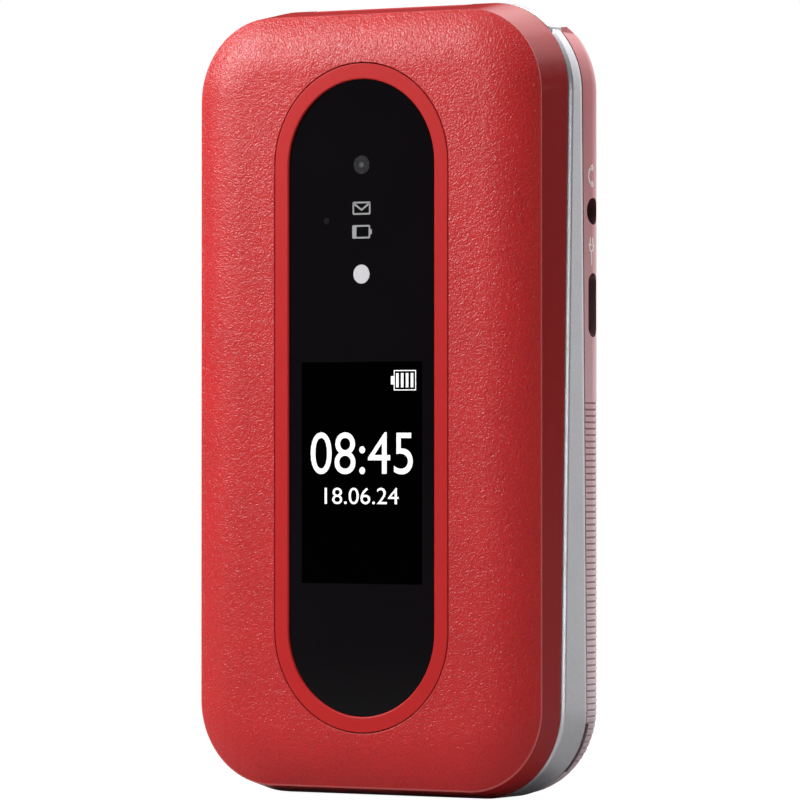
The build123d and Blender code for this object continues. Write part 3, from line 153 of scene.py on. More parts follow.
# ---- node helpers ----
class Graph:
    """The node tree of a material or world, with short calls for the nodes used here."""

    def __init__(self, owner):
        owner.use_nodes = True
        self.tree = owner.node_tree
        self.tree.nodes.clear()

    def add(self, kind, inputs=None, **settings):
        made = self.tree.nodes.new(kind)
        for key, value in settings.items():
            setattr(made, key, value)
        for key, value in (inputs or {}).items():
            self.put(made.inputs[key], value)
        return made

    def put(self, socket, value):
        if isinstance(value, bpy.types.NodeSocket):
            self.tree.links.new(value, socket)
        else:
            socket.default_value = value

    def math(self, operation, *values, clamp=False):
        inputs = dict(enumerate(values))
        return self.add("ShaderNodeMath", inputs, operation=operation, use_clamp=clamp).outputs[0]

    def vector(self, operation, inputs):
        return self.add("ShaderNodeVectorMath", inputs, operation=operation).outputs[0]

    def parts(self, vector):
        return self.add("ShaderNodeSeparateXYZ", {"Vector": vector}).outputs

    def ramp(self, value, low, high, to_low=0.0, to_high=1.0, smooth=False):
        inputs = {"Value": value, "From Min": low, "From Max": high, "To Min": to_low, "To Max": to_high}
        kind = "SMOOTHSTEP" if smooth else "LINEAR"
        return self.add("ShaderNodeMapRange", inputs, interpolation_type=kind).outputs["Result"]

    def mix(self, share, first, second):
        made = self.add("ShaderNodeMix", data_type="RGBA")
        self.put(made.inputs["Factor"], share)
        self.put(made.inputs[6], first)
        self.put(made.inputs[7], second)
        return made.outputs[2]

    def place(self):
        """Object coordinates in millimetres."""
        where = self.add("ShaderNodeTexCoord").outputs["Object"]
        return self.add("ShaderNodeMapping", {"Vector": where, "Scale": [1 / MM] * 3}).outputs[0]

    def noise(self, where, scale, detail=2.0, rough=0.5, distortion=0.0, output="Fac"):
        inputs = {"Vector": where, "Scale": scale, "Detail": detail}
        inputs.update({"Roughness": rough, "Distortion": distortion})
        return self.add("ShaderNodeTexNoise", inputs).outputs[output]

    def cells(self, where, scale, feature="F1", output="Distance", **inputs):
        inputs = {"Vector": where, "Scale": scale, **inputs}
        return self.add("ShaderNodeTexVoronoi", inputs, feature=feature).outputs[output]

    def flakes(self, where, scale):
        """A random number for each fleck of metal paint."""
        flake = self.cells(where, scale, output="Color")
        return self.add("ShaderNodeSeparateColor", {"Color": flake}).outputs["Red"]

    def rounded(self, radius, samples=4):
        """Normals that round sharp edges by a radius."""
        return self.add("ShaderNodeBevel", {"Radius": radius * MM}, samples=samples).outputs[0]

    def bump(self, height, depth, strength=1.0, normal=None):
        inputs = {"Height": height, "Distance": depth * MM, "Strength": strength}
        if normal is not None:
            inputs["Normal"] = normal
        return self.add("ShaderNodeBump", inputs).outputs["Normal"]

    def principled(self, tint, rough, **inputs):
        """Ends a material in a Principled shader. An underscore in a name stands for a space."""
        inputs = {key.replace("_", " "): value for key, value in inputs.items()}
        shader = self.add("ShaderNodeBsdfPrincipled", {"Base Color": tint, "Roughness": rough, **inputs})
        self.add("ShaderNodeOutputMaterial", {"Surface": shader.outputs[0]})


def colour(red, green, blue):
    """Linear colour from sRGB numbers of 0 to 255."""
    linear = []
    for part in (red, green, blue):
        share = part / 255
        linear.append(share / 12.92 if share <= 0.04045 else ((share + 0.055) / 1.055) ** 2.4)
    return (*linear, 1.0)


def shaded(colour_in, amount):
    return (*(part * amount for part in colour_in[:3]), 1.0)


WHITE = (1.0, 1.0, 1.0, 1.0)
materials = {}


def material(name):
    """A material that starts empty, kept by the name of the record's slot or of its use here."""
    made = bpy.data.materials.new("look_" + name)
    materials[name] = made
    return Graph(made)


def moulded(name, base, rough, grain=3.0, depth=0.01, mottle=0.06, metallic=0.0, specular=0.5, edge=0.08):
    """Plain moulded, painted or plated finish: slight mottling, uneven gloss and a fine surface grain."""
    graph = material(name)
    where = graph.place()
    broad = graph.noise(where, 0.25, detail=3.0)
    fine = graph.noise(where, grain, detail=3.0, rough=0.6)
    tint = graph.mix(graph.ramp(broad, 0.3, 0.7), shaded(base, 1 - mottle), shaded(base, 1 + mottle))
    gloss = graph.ramp(fine, 0.3, 0.7, rough - 0.04, rough + 0.04)
    normal = graph.bump(fine, depth, 0.6, graph.rounded(edge))
    graph.principled(tint, gloss, Normal=normal, Metallic=metallic, Specular_IOR_Level=specular)


# ---- materials ----
RED = colour(196, 22, 25)
RED_SMOOTH = colour(190, 28, 29)
# Pale red of the painted highlight along the lid's front edge.
RED_EDGE_HIGHLIGHT = colour(238, 120, 116)
SILVER = colour(232, 232, 237)
ROSE_TOP = colour(200, 122, 125)
# Pale rose of the painted floor reflection at the cover's foot.
ROSE_FOOT_REFLECTION = colour(250, 228, 233)
ROSE_FLECK = colour(120, 60, 64)
# Dark rose of the painted shade in the cover's grooves.
ROSE_GROOVE_SHADE = colour(118, 66, 70)


def make_red_shell():
    """Red lacquer: a leather grain over the crowned front, nearly smooth on the walls round it. Painted
    shade darkens the grain's creases and the side walls, and painted light brightens the walls' top end
    and the front edge.
    """
    graph = material("red_shell")
    where = graph.place()
    parts = graph.parts(where)
    front = graph.ramp(parts["Y"], FRONT_EDGE_Y + 0.12, FRONT_EDGE_Y - 0.02)

    bend = graph.noise(where, 1.3, output="Color")
    pull = graph.vector("SUBTRACT", {0: bend, 1: (0.5, 0.5, 0.5)})
    pull = graph.vector("SCALE", {0: pull, "Scale": 0.7})
    moved = graph.vector("ADD", {0: where, 1: pull})
    pebble = graph.cells(moved, 3.5, "SMOOTH_F1", Smoothness=0.9)
    wrinkle = graph.noise(moved, 4.1, detail=1.0, distortion=0.2)
    height = graph.math("MULTIPLY", graph.math("SUBTRACT", 1.0, pebble), 0.35)
    height = graph.math("ADD", height, wrinkle)
    height = graph.math("MULTIPLY", height, graph.ramp(front, 0.0, 1.0, 0.08, 1.0))
    normal = graph.bump(height, 0.094, 1.0, graph.rounded(0.2, samples=6))

    broad = graph.noise(where, 0.12)
    plain = graph.mix(graph.ramp(broad, 0.35, 0.65), shaded(RED, 0.96), shaded(RED, 1.03))
    # Painted shade: the creases of the front's grain are darkened.
    crease_shade = graph.math("MULTIPLY", graph.ramp(wrinkle, 0.46, 0.34), front)
    face = graph.mix(graph.math("MULTIPLY", crease_shade, 0.35), plain, shaded(RED, 0.45))
    # Painted shade and light: the side walls are darkened and their top end brightened, as the light falls
    # on them.
    wall_light_and_shade = graph.mix(graph.ramp(parts["Z"], 97.0, 102.5), shaded(RED, 0.76), shaded(RED, 1.3))
    tint = graph.mix(front, wall_light_and_shade, face)
    # Painted highlight: a pale line along the front edge, where the edge catches the light.
    off_edge = graph.math("ABSOLUTE", graph.math("SUBTRACT", parts["Y"], FRONT_EDGE_Y + 0.03))
    tint = graph.mix(graph.ramp(off_edge, 0.10, 0.04, 0.0, 0.7), tint, RED_EDGE_HIGHLIGHT)

    gloss = graph.ramp(front, 0.0, 1.0, 0.16, 0.38)
    graph.principled(tint, gloss, Normal=normal, Specular_IOR_Level=0.5)


def make_silver(name):
    """Satin silver paint with a fine metal flake."""
    graph = material(name)
    where = graph.place()
    spark = graph.flakes(where, 9.0)
    broad = graph.noise(where, 0.3)
    tint = graph.mix(spark, shaded(SILVER, 0.86), shaded(SILVER, 1.04))
    gloss = graph.ramp(spark, 0.0, 1.0, 0.30, 0.40)
    gloss = graph.math("ADD", gloss, graph.ramp(broad, 0.3, 0.7, -0.02, 0.02))
    normal = graph.bump(graph.noise(where, 6.0), 0.012, 0.7, graph.rounded(0.45, samples=8))
    graph.principled(tint, gloss, Normal=normal, Metallic=0.85)


def make_rose_cover():
    """Satin rose metallic paint, with a painted reflection of the floor that makes it paler towards the
    foot of the phone, and painted shade in the grooves.
    """
    graph = material("red_cover")
    where = graph.place()
    up = graph.parts(where)["Z"]
    # Painted reflection: the cover grows paler towards the foot, where it mirrors the floor.
    floor_reflection = graph.mix(graph.ramp(up, 92.0, 12.0), ROSE_TOP, ROSE_FOOT_REFLECTION)
    tint = graph.mix(graph.math("MULTIPLY", graph.flakes(where, 10.0), 0.12), floor_reflection, ROSE_FLECK)

    # Painted shade: the grooves between the ribs are darkened and made rougher, where shade falls in them.
    turn = graph.math("FRACT", graph.math("DIVIDE", graph.math("SUBTRACT", up, RIB_START), RIB_PITCH))
    off = graph.math("MULTIPLY", graph.math("ABSOLUTE", graph.math("SUBTRACT", turn, 0.5)), RIB_PITCH)
    groove = graph.ramp(off, 0.17, 0.10)
    groove = graph.math("MULTIPLY", groove, graph.math("GREATER_THAN", up, RIB_START))
    groove = graph.math("MULTIPLY", groove, graph.math("LESS_THAN", up, RIB_START + RIB_PITCH * RIB_COUNT))
    tint = graph.mix(graph.math("MULTIPLY", groove, 0.42), tint, ROSE_GROOVE_SHADE)

    gloss = graph.ramp(graph.noise(where, 3.0, detail=3.0), 0.3, 0.7, 0.28, 0.34)
    gloss = graph.math("ADD", gloss, graph.math("MULTIPLY", groove, 0.3))
    normal = graph.bump(graph.noise(where, 5.0), 0.006, 0.6, graph.rounded(0.1))
    graph.principled(tint, gloss, Normal=normal, Metallic=0.85)


def make_glass(name, base, rough, specular):
    """Polished black window, with the faint unevenness of a hard coat."""
    graph = material(name)
    where = graph.place()
    wave = graph.noise(where, 0.08)
    tint = graph.mix(wave, shaded(base, 0.85), shaded(base, 1.15))
    gloss = graph.ramp(graph.noise(where, 1.5, detail=3.0), 0.3, 0.7, rough, rough + 0.03)
    normal = graph.bump(wave, 0.01, 0.3, graph.rounded(0.1))
    graph.principled(tint, gloss, Normal=normal, Specular_IOR_Level=specular)


def make_earpiece_mesh():
    """Woven steel mesh of the earpiece."""
    thread_pitch = 0.25
    graph = material("mesh_steel")
    parts = graph.parts(graph.place())
    threads = []
    for axis in ("X", "Z"):
        turned = graph.math("MULTIPLY", parts[axis], 2 * math.pi / thread_pitch)
        threads.append(graph.ramp(graph.math("SINE", turned), -1.0, 1.0))
    weave = graph.math("MAXIMUM", *threads)
    tint = graph.mix(weave, colour(22, 22, 23), colour(120, 120, 122))
    graph.principled(tint, 0.45, Normal=graph.bump(weave, 0.06), Metallic=0.8)


def make_board():
    """Green solder mask with faint copper tracks under it."""
    graph = material("board_green")
    track = graph.cells(graph.place(), 0.45, "DISTANCE_TO_EDGE")
    line = graph.ramp(track, 0.02, 0.05, 1.0, 0.0)
    tint = graph.mix(line, colour(20, 74, 42), colour(44, 116, 66))
    graph.principled(tint, 0.38, Normal=graph.bump(line, 0.02))


def make_lens():
    """Camera lens: grey ring that brightens towards the middle of the dot."""
    graph = material("lens")
    where = graph.place()
    parts = graph.parts(where)
    off_x = graph.math("POWER", parts["X"], 2.0)
    off_z = graph.math("POWER", graph.math("SUBTRACT", parts["Z"], CAMERA_Z), 2.0)
    reach = graph.math("SQRT", graph.math("ADD", off_x, off_z))
    heart = graph.ramp(reach, 0.12, 0.5, 1.0, 0.0, smooth=True)
    uneven = graph.math("MULTIPLY", graph.ramp(graph.noise(where, 4.0), 0.35, 0.65), 0.25)
    tint = graph.mix(graph.math("ADD", heart, uneven, clamp=True), colour(38, 37, 40), colour(92, 92, 94))
    graph.principled(tint, 0.2, Specular_IOR_Level=0.2)


def make_print(name, base, rough=0.5, glow=0.0, metallic=0.0):
    """Printed or lit mark, slightly uneven like real ink."""
    graph = material(name)
    speck = graph.noise(graph.place(), 6.0)
    tint = graph.mix(graph.ramp(speck, 0.3, 0.7), shaded(base, 0.94), base)
    light = {"Emission_Color": base, "Emission_Strength": glow} if glow else {}
    graph.principled(tint, rough, Metallic=metallic, Specular_IOR_Level=0.25, **light)


make_red_shell()
moulded("red_smooth", RED_SMOOTH, rough=0.4, depth=0.004, mottle=0.02, specular=0.28, edge=0.22)
make_rose_cover()
make_silver("silver")
make_silver("silver_caps")
make_glass("black_glass", colour(15, 13, 15), rough=0.06, specular=0.06)
make_glass("display_black", colour(1, 1, 1), rough=0.1, specular=0.01)
make_lens()
make_earpiece_mesh()
make_board()
moulded("lamp_white", colour(214, 212, 214), rough=0.4, depth=0.004, mottle=0.02)
moulded("frame_black", colour(30, 30, 32), rough=0.5, grain=5.0, depth=0.02)
moulded("speaker_black", colour(34, 34, 34), rough=0.55, depth=0.02)
moulded("steel", colour(176, 176, 178), rough=0.32, grain=5.0, depth=0.006, metallic=0.9)
moulded("rubber_dark", colour(38, 38, 39), rough=0.7, depth=0.02)
moulded("flex_amber", colour(168, 104, 34), rough=0.35, depth=0.006)
moulded("key_black", colour(30, 30, 33), rough=0.42, grain=5.0, depth=0.01, edge=0.2)
moulded("membrane", colour(168, 168, 166), rough=0.5, depth=0.01)
moulded("battery_wrap", colour(44, 44, 48), rough=0.5, depth=0.01)
moulded("contact_gold", colour(214, 172, 84), rough=0.3, depth=0.006, metallic=0.85)
moulded("chassis_grey", colour(66, 66, 69), rough=0.5, grain=5.0, depth=0.02)
moulded("flash_white", colour(208, 206, 210), rough=0.35, depth=0.004, mottle=0.03)
make_print("icon_grey", colour(158, 158, 160))
make_print("print_white", colour(238, 238, 240))
make_print("print_pale", colour(255, 248, 244), rough=0.36, metallic=0.9)
make_print("lit_white", colour(246, 246, 246), glow=0.35)
make_print("hole_black", colour(3, 3, 3), rough=0.9)
make_print("mark_green", colour(60, 170, 80))
make_print("mark_red", colour(206, 52, 48))


# ---- mesh helpers ----
def show(name, mesh, look, body):
    """Links a mesh as a piece that rides on a body."""
    piece = bpy.data.objects.new(name, mesh)
    bpy.context.scene.collection.objects.link(piece)
    mesh.materials.clear()
    mesh.materials.append(materials[look])
    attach(piece, body)
    return piece


def inlay(name, mesh, place, look, body):
    """Lays a mesh drawn flat on its place and shows it."""
    mesh.transform(place)
    show(name, mesh, look, body)


def front_place(x, z, y=GLASS_Y):
    """Drawing plane on the front: X across, Y up the phone, Z out of the glass."""
    return Matrix.Translation((x * MM, y * MM, z * MM)) @ Matrix.Rotation(math.pi / 2, 4, "X")


def side_place(y, z):
    """Drawing plane on the right side: X backwards, Y up the phone, Z out of the side."""
    turn = Matrix(((0, 0, 1, 0), (1, 0, 0, 0), (0, 1, 0, 0), (0, 0, 0, 1)))
    return Matrix.Translation((COVER_HALF_WIDTH * MM, y * MM, z * MM)) @ turn


def deck_place(x, v, w=KEY_TOP):
    """Drawing plane on the keypad: X across, Y up the phone, Z out of the keys."""
    lean, rise = math.sin(PARTING_TILT), math.cos(PARTING_TILT)
    y = PARTING_Y + v * lean - w * rise
    z = MID_Z + v * rise + w * lean
    turn = Matrix.Rotation(math.pi / 2 - PARTING_TILT, 4, "X")
    return Matrix.Translation((x * MM, y * MM, z * MM)) @ turn


def flat_mesh(curve):
    """The curve as a mesh, and the curve taken away again."""
    holder = bpy.data.objects.new("holder", curve)
    bpy.context.scene.collection.objects.link(holder)
    filled = holder.evaluated_get(bpy.context.evaluated_depsgraph_get())
    mesh = bpy.data.meshes.new_from_object(filled)
    bpy.data.objects.remove(holder)
    bpy.data.curves.remove(curve)
    return mesh


def drawn(loops, thick=MARK_THICK):
    """A thin plate from closed outlines. An outline inside another is a hole."""
    curve = bpy.data.curves.new("outline", "CURVE")
    curve.dimensions = "2D"
    curve.fill_mode = "BOTH"
    curve.extrude = thick * MM / 2
    for loop in loops:
        spline = curve.splines.new("POLY")
        spline.points.add(len(loop) - 1)
        for point, (x, y) in zip(spline.points, loop):
            point.co = (x * MM, y * MM, 0, 1)
        spline.use_cyclic_u = True
    return flat_mesh(curve)


def lettered(text, height, squeeze=1.0):
    """Plain digits or signs as a thin plate of that height, squeezed in width."""
    curve = bpy.data.curves.new("digits", "FONT")
    curve.body = text
    curve.align_x = "CENTER"
    curve.align_y = "CENTER"
    curve.size = height * MM / 0.73
    curve.extrude = MARK_THICK * MM / 2
    curve.resolution_u = 6
    mesh = flat_mesh(curve)
    spread = [vertex.co for vertex in mesh.vertices]
    middle = Vector([(min(c[i] for c in spread) + max(c[i] for c in spread)) / 2 for i in range(3)])
    fit = height * MM / (max(c.y for c in spread) - min(c.y for c in spread))
    mesh.transform(Matrix.Diagonal((fit * squeeze, fit, 1.0, 1.0)) @ Matrix.Translation(-middle))
    return mesh


# ---- outlines ----
def box(x_low, y_low, x_high, y_high):
    return [(x_low, y_low), (x_high, y_low), (x_high, y_high), (x_low, y_high)]


def round_box(x_low, y_low, x_high, y_high, radius, steps=5):
    points = []
    corners = ((x_high, y_low, 270), (x_high, y_high, 0), (x_low, y_high, 90), (x_low, y_low, 180))
    for x, y, start in corners:
        centre_x = x - math.copysign(radius, x - (x_low + x_high) / 2)
        centre_y = y - math.copysign(radius, y - (y_low + y_high) / 2)
        points += arc(centre_x, centre_y, radius, start, start + 90, steps)
    return points


def ring(radius, count=40):
    turn = 2 * math.pi / count
    return [(radius * math.cos(turn * i), radius * math.sin(turn * i)) for i in range(count)]


def star(reach, waist, arms=6):
    """Outline of a star with pointed arms, one of them straight up."""
    points = []
    for index in range(2 * arms):
        angle = math.pi / 2 + math.pi * index / arms
        radius = waist if index % 2 else reach
        points.append((radius * math.cos(angle), radius * math.sin(angle)))
    return points


def stroke(points, width):
    """Outline of a line of even width through points."""
    sides = []
    for sign in (1, -1):
        edge = []
        for index, point in enumerate(points):
            before = points[max(index - 1, 0)]
            after = points[min(index + 1, len(points) - 1)]
            run = Vector((after[0] - before[0], after[1] - before[1])).normalized()
            edge.append((point[0] - sign * run.y * width / 2, point[1] + sign * run.x * width / 2))
        sides.append(edge)
    return sides[0] + sides[1][::-1]


def arc(x, y, radius, start, end, steps=14):
    """Points round a centre, from one angle to another in degrees."""
    points = []
    for step in range(steps + 1):
        angle = math.radians(start + (end - start) * step / steps)
        points.append((x + radius * math.cos(angle), y + radius * math.sin(angle)))
    return points


def handset():
    """Outline of a telephone handset that lies with its ends down."""
    top = arc(0, -2.6, 3.75, 35, 145)
    low = arc(0, -2.6, 2.65, 125, 55)
    left = [(-3.25, -1.55), (-1.75, -1.55), (-1.52, -0.95)]
    right = [(-x, y) for x, y in reversed(left)]
    return top + left + low + right


# ---- the outer window ----
def window_mark(name, loops, x, z, look, thick=MARK_THICK):
    inlay(name, drawn(loops, thick), front_place(x, z), look, "lid")


def icon_frame(half_height, inner_left, inner_radius):
    """Outline of a pictogram's rounded frame, and of the opening in it."""
    outer = round_box(-ICON_HALF_WIDTH, -half_height, ICON_HALF_WIDTH, half_height, 0.2)
    inner_height = half_height - ICON_LINE
    inner_right = ICON_HALF_WIDTH - ICON_LINE
    return [outer, round_box(inner_left, -inner_height, inner_right, inner_height, inner_radius)]


def make_window_marks():
    """Lens and flash dots, the sensor's hole, and the envelope and battery pictograms."""
    window_mark("window_camera_dot", [ring(CAMERA_DOT_R)], 0, CAMERA_Z, "lens")
    flash = [ring(FLASH_DOT_R)]
    window_mark("window_flash_dot", flash, 0, FLASH_Z, "flash_white", FLASH_DOT_THICK)
    window_mark("window_sensor_hole", [ring(SENSOR_R)], SENSOR_X, SENSOR_Z, "hole_black")
    envelope = icon_frame(ENVELOPE_HALF_HEIGHT, ICON_LINE - ICON_HALF_WIDTH, 0.08)
    window_mark("icon_envelope", envelope, 0, ENVELOPE_Z, "icon_grey")
    flap = [stroke([(-1.25, 0.66), (0, -0.22), (1.25, 0.66)], ICON_LINE * 1.15)]
    window_mark("icon_envelope_flap", flap, 0, ENVELOPE_Z, "icon_grey")
    cell = icon_frame(BATTERY_HALF_HEIGHT, -0.75, 0.1)
    window_mark("icon_battery", cell, BATTERY_X, BATTERY_Z, "icon_grey")
    nub = [round_box(ICON_HALF_WIDTH - 0.02, -0.36, 1.66, 0.36, 0.12)]
    window_mark("icon_battery_nub", nub, BATTERY_X, BATTERY_Z, "icon_grey")


def screen_mark(name, mesh, z=0.0):
    inlay(name, mesh, front_place(0, z, SCREEN_MARK_Y), "lit_white", "lid")


def make_screen_battery():
    """A full battery in the screen's top corner: a frame, four bars and a nub."""
    left, low, right, high = 5.05, 54.25, 8.5, 56.95
    line = 0.13
    bar_width, bar_pitch, bar_gap = 0.40, 0.76, 0.40
    nub_length, nub_gap = 0.45, 0.80
    shell = [box(left, low, right, high), box(left + line, low + line, right - line, high - line)]
    screen_mark("screen_battery", drawn(shell))
    bars = []
    for index in range(4):
        x = left + 0.35 + index * bar_pitch
        bars.append(box(x, low + bar_gap, x + bar_width, high - bar_gap))
    screen_mark("screen_battery_bars", drawn(bars))
    nub = box(left - nub_length, low + nub_gap, left, high - nub_gap)
    screen_mark("screen_battery_nub", drawn([nub]))


def make_outer_screen():
    """Dark screen with plain numbers for the time and date, and a battery sign."""
    left, right = DISPLAY_LOW.x + SCREEN_SIDE_MARGIN, DISPLAY_HIGH.x - SCREEN_SIDE_MARGIN
    low, high = DISPLAY_LOW.z + SCREEN_END_MARGIN, DISPLAY_HIGH.z - SCREEN_END_MARGIN
    screen = drawn([box(left, low, right, high)], SCREEN_THICK)
    inlay("outer_screen", screen, front_place(0, 0), "display_black", "lid")
    make_screen_battery()
    screen_mark("screen_clock", lettered("08:45", CLOCK_HEIGHT, squeeze=0.94), CLOCK_Z)
    screen_mark("screen_date", lettered("18.06.24", DATE_HEIGHT, squeeze=1.15), DATE_Z)


# ---- the battery cover ----
def cover_skin(x, y, z):
    """How far a point is outside the cover's outer form, and the way out, in millimetres."""
    off_x = abs(x) - (COVER_HALF_WIDTH - COVER_CORNER)
    off_z = abs(z - MID_Z) - (COVER_HALF_HEIGHT - COVER_CORNER)
    if off_x > 0 and off_z > 0:
        reach = math.hypot(off_x, off_z)
        inset = COVER_CORNER - reach
        way = (off_x / reach, off_z / reach)
    elif off_x > off_z:
        inset, way = COVER_CORNER - off_x, (1.0, 0.0)
    else:
        inset, way = COVER_CORNER - off_z, (0.0, 1.0)
    way = (math.copysign(way[0], x), math.copysign(way[1], z - MID_Z))
    over = y - (COVER_BACK_Y - COVER_EDGE_R)
    if over <= 0:
        return -inset, Vector((way[0], 0, way[1]))
    if inset >= COVER_EDGE_R:
        return y - COVER_BACK_Y, Vector((0, 1, 0))
    side = COVER_EDGE_R - inset
    reach = math.hypot(side, over)
    return reach - COVER_EDGE_R, Vector((way[0] * side / reach, over / reach, way[1] * side / reach))


def cut_level(form, faces, z):
    """Cuts those faces at a height, and returns what the cut leaves of them."""
    geometry = set(faces)
    for face in faces:
        geometry.update(face.edges)
        geometry.update(face.verts)
    plane = {"plane_co": (0, 0, z * MM), "plane_no": (0, 0, 1)}
    cut = bmesh.ops.bisect_plane(form, geom=list(geometry), **plane)
    return [item for item in cut["geom"] if isinstance(item, bmesh.types.BMFace)]


def make_ribbed_cover():
    """The battery cover with fine grooves cut into its lower half, from the CAD cover's own mesh."""
    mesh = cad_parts["battery_cover"].data.copy()
    form = bmesh.new()
    form.from_mesh(mesh)
    bmesh.ops.remove_doubles(form, verts=form.verts, dist=1e-7)
    grooves = [RIB_START + RIB_PITCH * (index + 0.5) for index in range(RIB_COUNT)]
    active = list(form.faces)
    for groove in grooves:
        for step in (-GROOVE_MOUTH, -GROOVE_FLOOR, GROOVE_FLOOR, GROOVE_MOUTH):
            level = groove + step
            above = [face for face in active if max(vertex.co.z for vertex in face.verts) > level * MM]
            active = cut_level(form, above, level)
    for vertex in form.verts:
        x, y, z = (part / MM for part in vertex.co)
        if not any(abs(z - groove) < GROOVE_REACH for groove in grooves):
            continue
        gap, way = cover_skin(x, y, z)
        if abs(gap) < SKIN_REACH:
            vertex.co -= way * RIB_DEPTH * MM
    form.to_mesh(mesh)
    form.free()
    if "custom_normal" in mesh.attributes:
        mesh.attributes.remove(mesh.attributes["custom_normal"])
    mesh.shade_smooth()
    mesh.set_sharp_from_angle(angle=math.radians(24))
    piece = show("ribbed_battery_cover", mesh, "red_cover", "battery_cover_body")
    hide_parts("battery_cover")


def port_mark(name, loops, z):
    """A pictogram on the right side, laid on the cover's rounded edge."""
    mesh = drawn(loops)
    mesh.transform(side_place(PORT_MARK_Y, z))
    turn_start = COVER_BACK_Y - COVER_EDGE_R
    for vertex in mesh.vertices:
        past = vertex.co.y / MM - turn_start
        if past > 0:
            vertex.co.x -= (COVER_EDGE_R - math.sqrt(COVER_EDGE_R ** 2 - past ** 2)) * MM
    show(name, mesh, "print_pale", "battery_cover_body")


def make_port_marks():
    """Plain pictograms beside the sockets: a pair of headphones and a plug."""
    port_mark("mark_headphones", [stroke(arc(0.55, 0, 1.3, 122, 238), 0.32)], HEADPHONE_MARK_Z)
    for name, z in (("upper", 1.1), ("lower", -1.1)):
        pad = [(-0.30, z), (0.15, z + 0.50), (0.62, z), (0.15, z - 0.50)]
        hole = [(0.02, z), (0.17, z + 0.15), (0.31, z), (0.17, z - 0.15)]
        port_mark("mark_headphone_" + name, [pad, hole], HEADPHONE_MARK_Z)
    cup = [(-0.72, 0.5), (-0.72, 0.2), (-0.5, -0.45), (0.0, -0.75), (0.5, -0.45), (0.72, 0.2), (0.72, 0.5)]
    inside = [(-0.40, 0.22), (-0.29, -0.25), (0.0, -0.42), (0.29, -0.25), (0.40, 0.22)]
    port_mark("mark_plug", [cup, inside], PLUG_MARK_Z)
    prongs = [box(-0.47, 0.5, -0.19, 1.3), box(0.19, 0.5, 0.47, 1.3)]
    cord = box(-0.14, -2.4, 0.14, -0.72)
    port_mark("mark_plug_lines", [*prongs, cord], PLUG_MARK_Z)


# ---- the keypad and the inner screen ----
def make_number_marks():
    rows = (("star", "0", "hash"), ("7", "8", "9"), ("4", "5", "6"), ("1", "2", "3"))
    for names, v in zip(rows, KEY_ROWS_V):
        for column, name in zip((-1, 0, 1), names):
            if name == "star":
                sign = drawn([star(1.75, 0.6)])
            else:
                sign = lettered("#" if name == "hash" else name, NUMERAL_HEIGHT)
            where = deck_place(column * KEY_PITCH_X, v)
            inlay("numeral_" + name, sign, where, "print_white", f"key_{name}_body")


def make_call_marks():
    for side, name, look, turn in ((-1, "call", "mark_green", 135), (1, "end", "mark_red", 0)):
        sign = drawn([handset()])
        sign.transform(Matrix.Rotation(math.radians(turn), 4, "Z"))
        where = deck_place(side * KEY_PITCH_X, CALL_V)
        inlay(f"mark_{name}", sign, where, look, f"{name}_key_body")


def make_soft_marks():
    for side, name in ((-1, "left"), (1, "right")):
        bar = drawn([round_box(-2.0, -0.3, 2.0, 0.3, 0.28)])
        where = deck_place(side * KEY_PITCH_X, SOFT_V)
        inlay(f"mark_soft_{name}", bar, where, "print_white", f"soft_key_{name}_body")


def make_nav_marks():
    for name, sign in (("up", 1), ("down", -1)):
        arrow = drawn([[(-1.3, sign * 6.6), (1.3, sign * 6.6), (0, sign * 8.2)]])
        inlay(f"mark_nav_{name}", arrow, deck_place(0, NAV_V), "hole_black", "nav_rocker_body")


def make_inner_screen():
    """Dark screen in the inner window, which faces the keys."""
    half_width, half_height = INNER_SCREEN_HALF_WIDTH, INNER_SCREEN_HALF_HEIGHT
    area = drawn([box(-half_width, -half_height, half_width, half_height)], SCREEN_THICK)
    area.transform(Matrix.Rotation(math.pi, 4, "Y"))
    where = deck_place(0, INNER_WINDOW_V, INNER_SCREEN_W)
    inlay("inner_screen", area, where, "display_black", "lid")


# ---- finish of the CAD nodes ----
def dress_nodes():
    """Gives each CAD node the material named like its slot."""
    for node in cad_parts.values():
        slot = node.data.materials[0].name.split(".")[0]
        node.data.materials[0] = materials[slot]


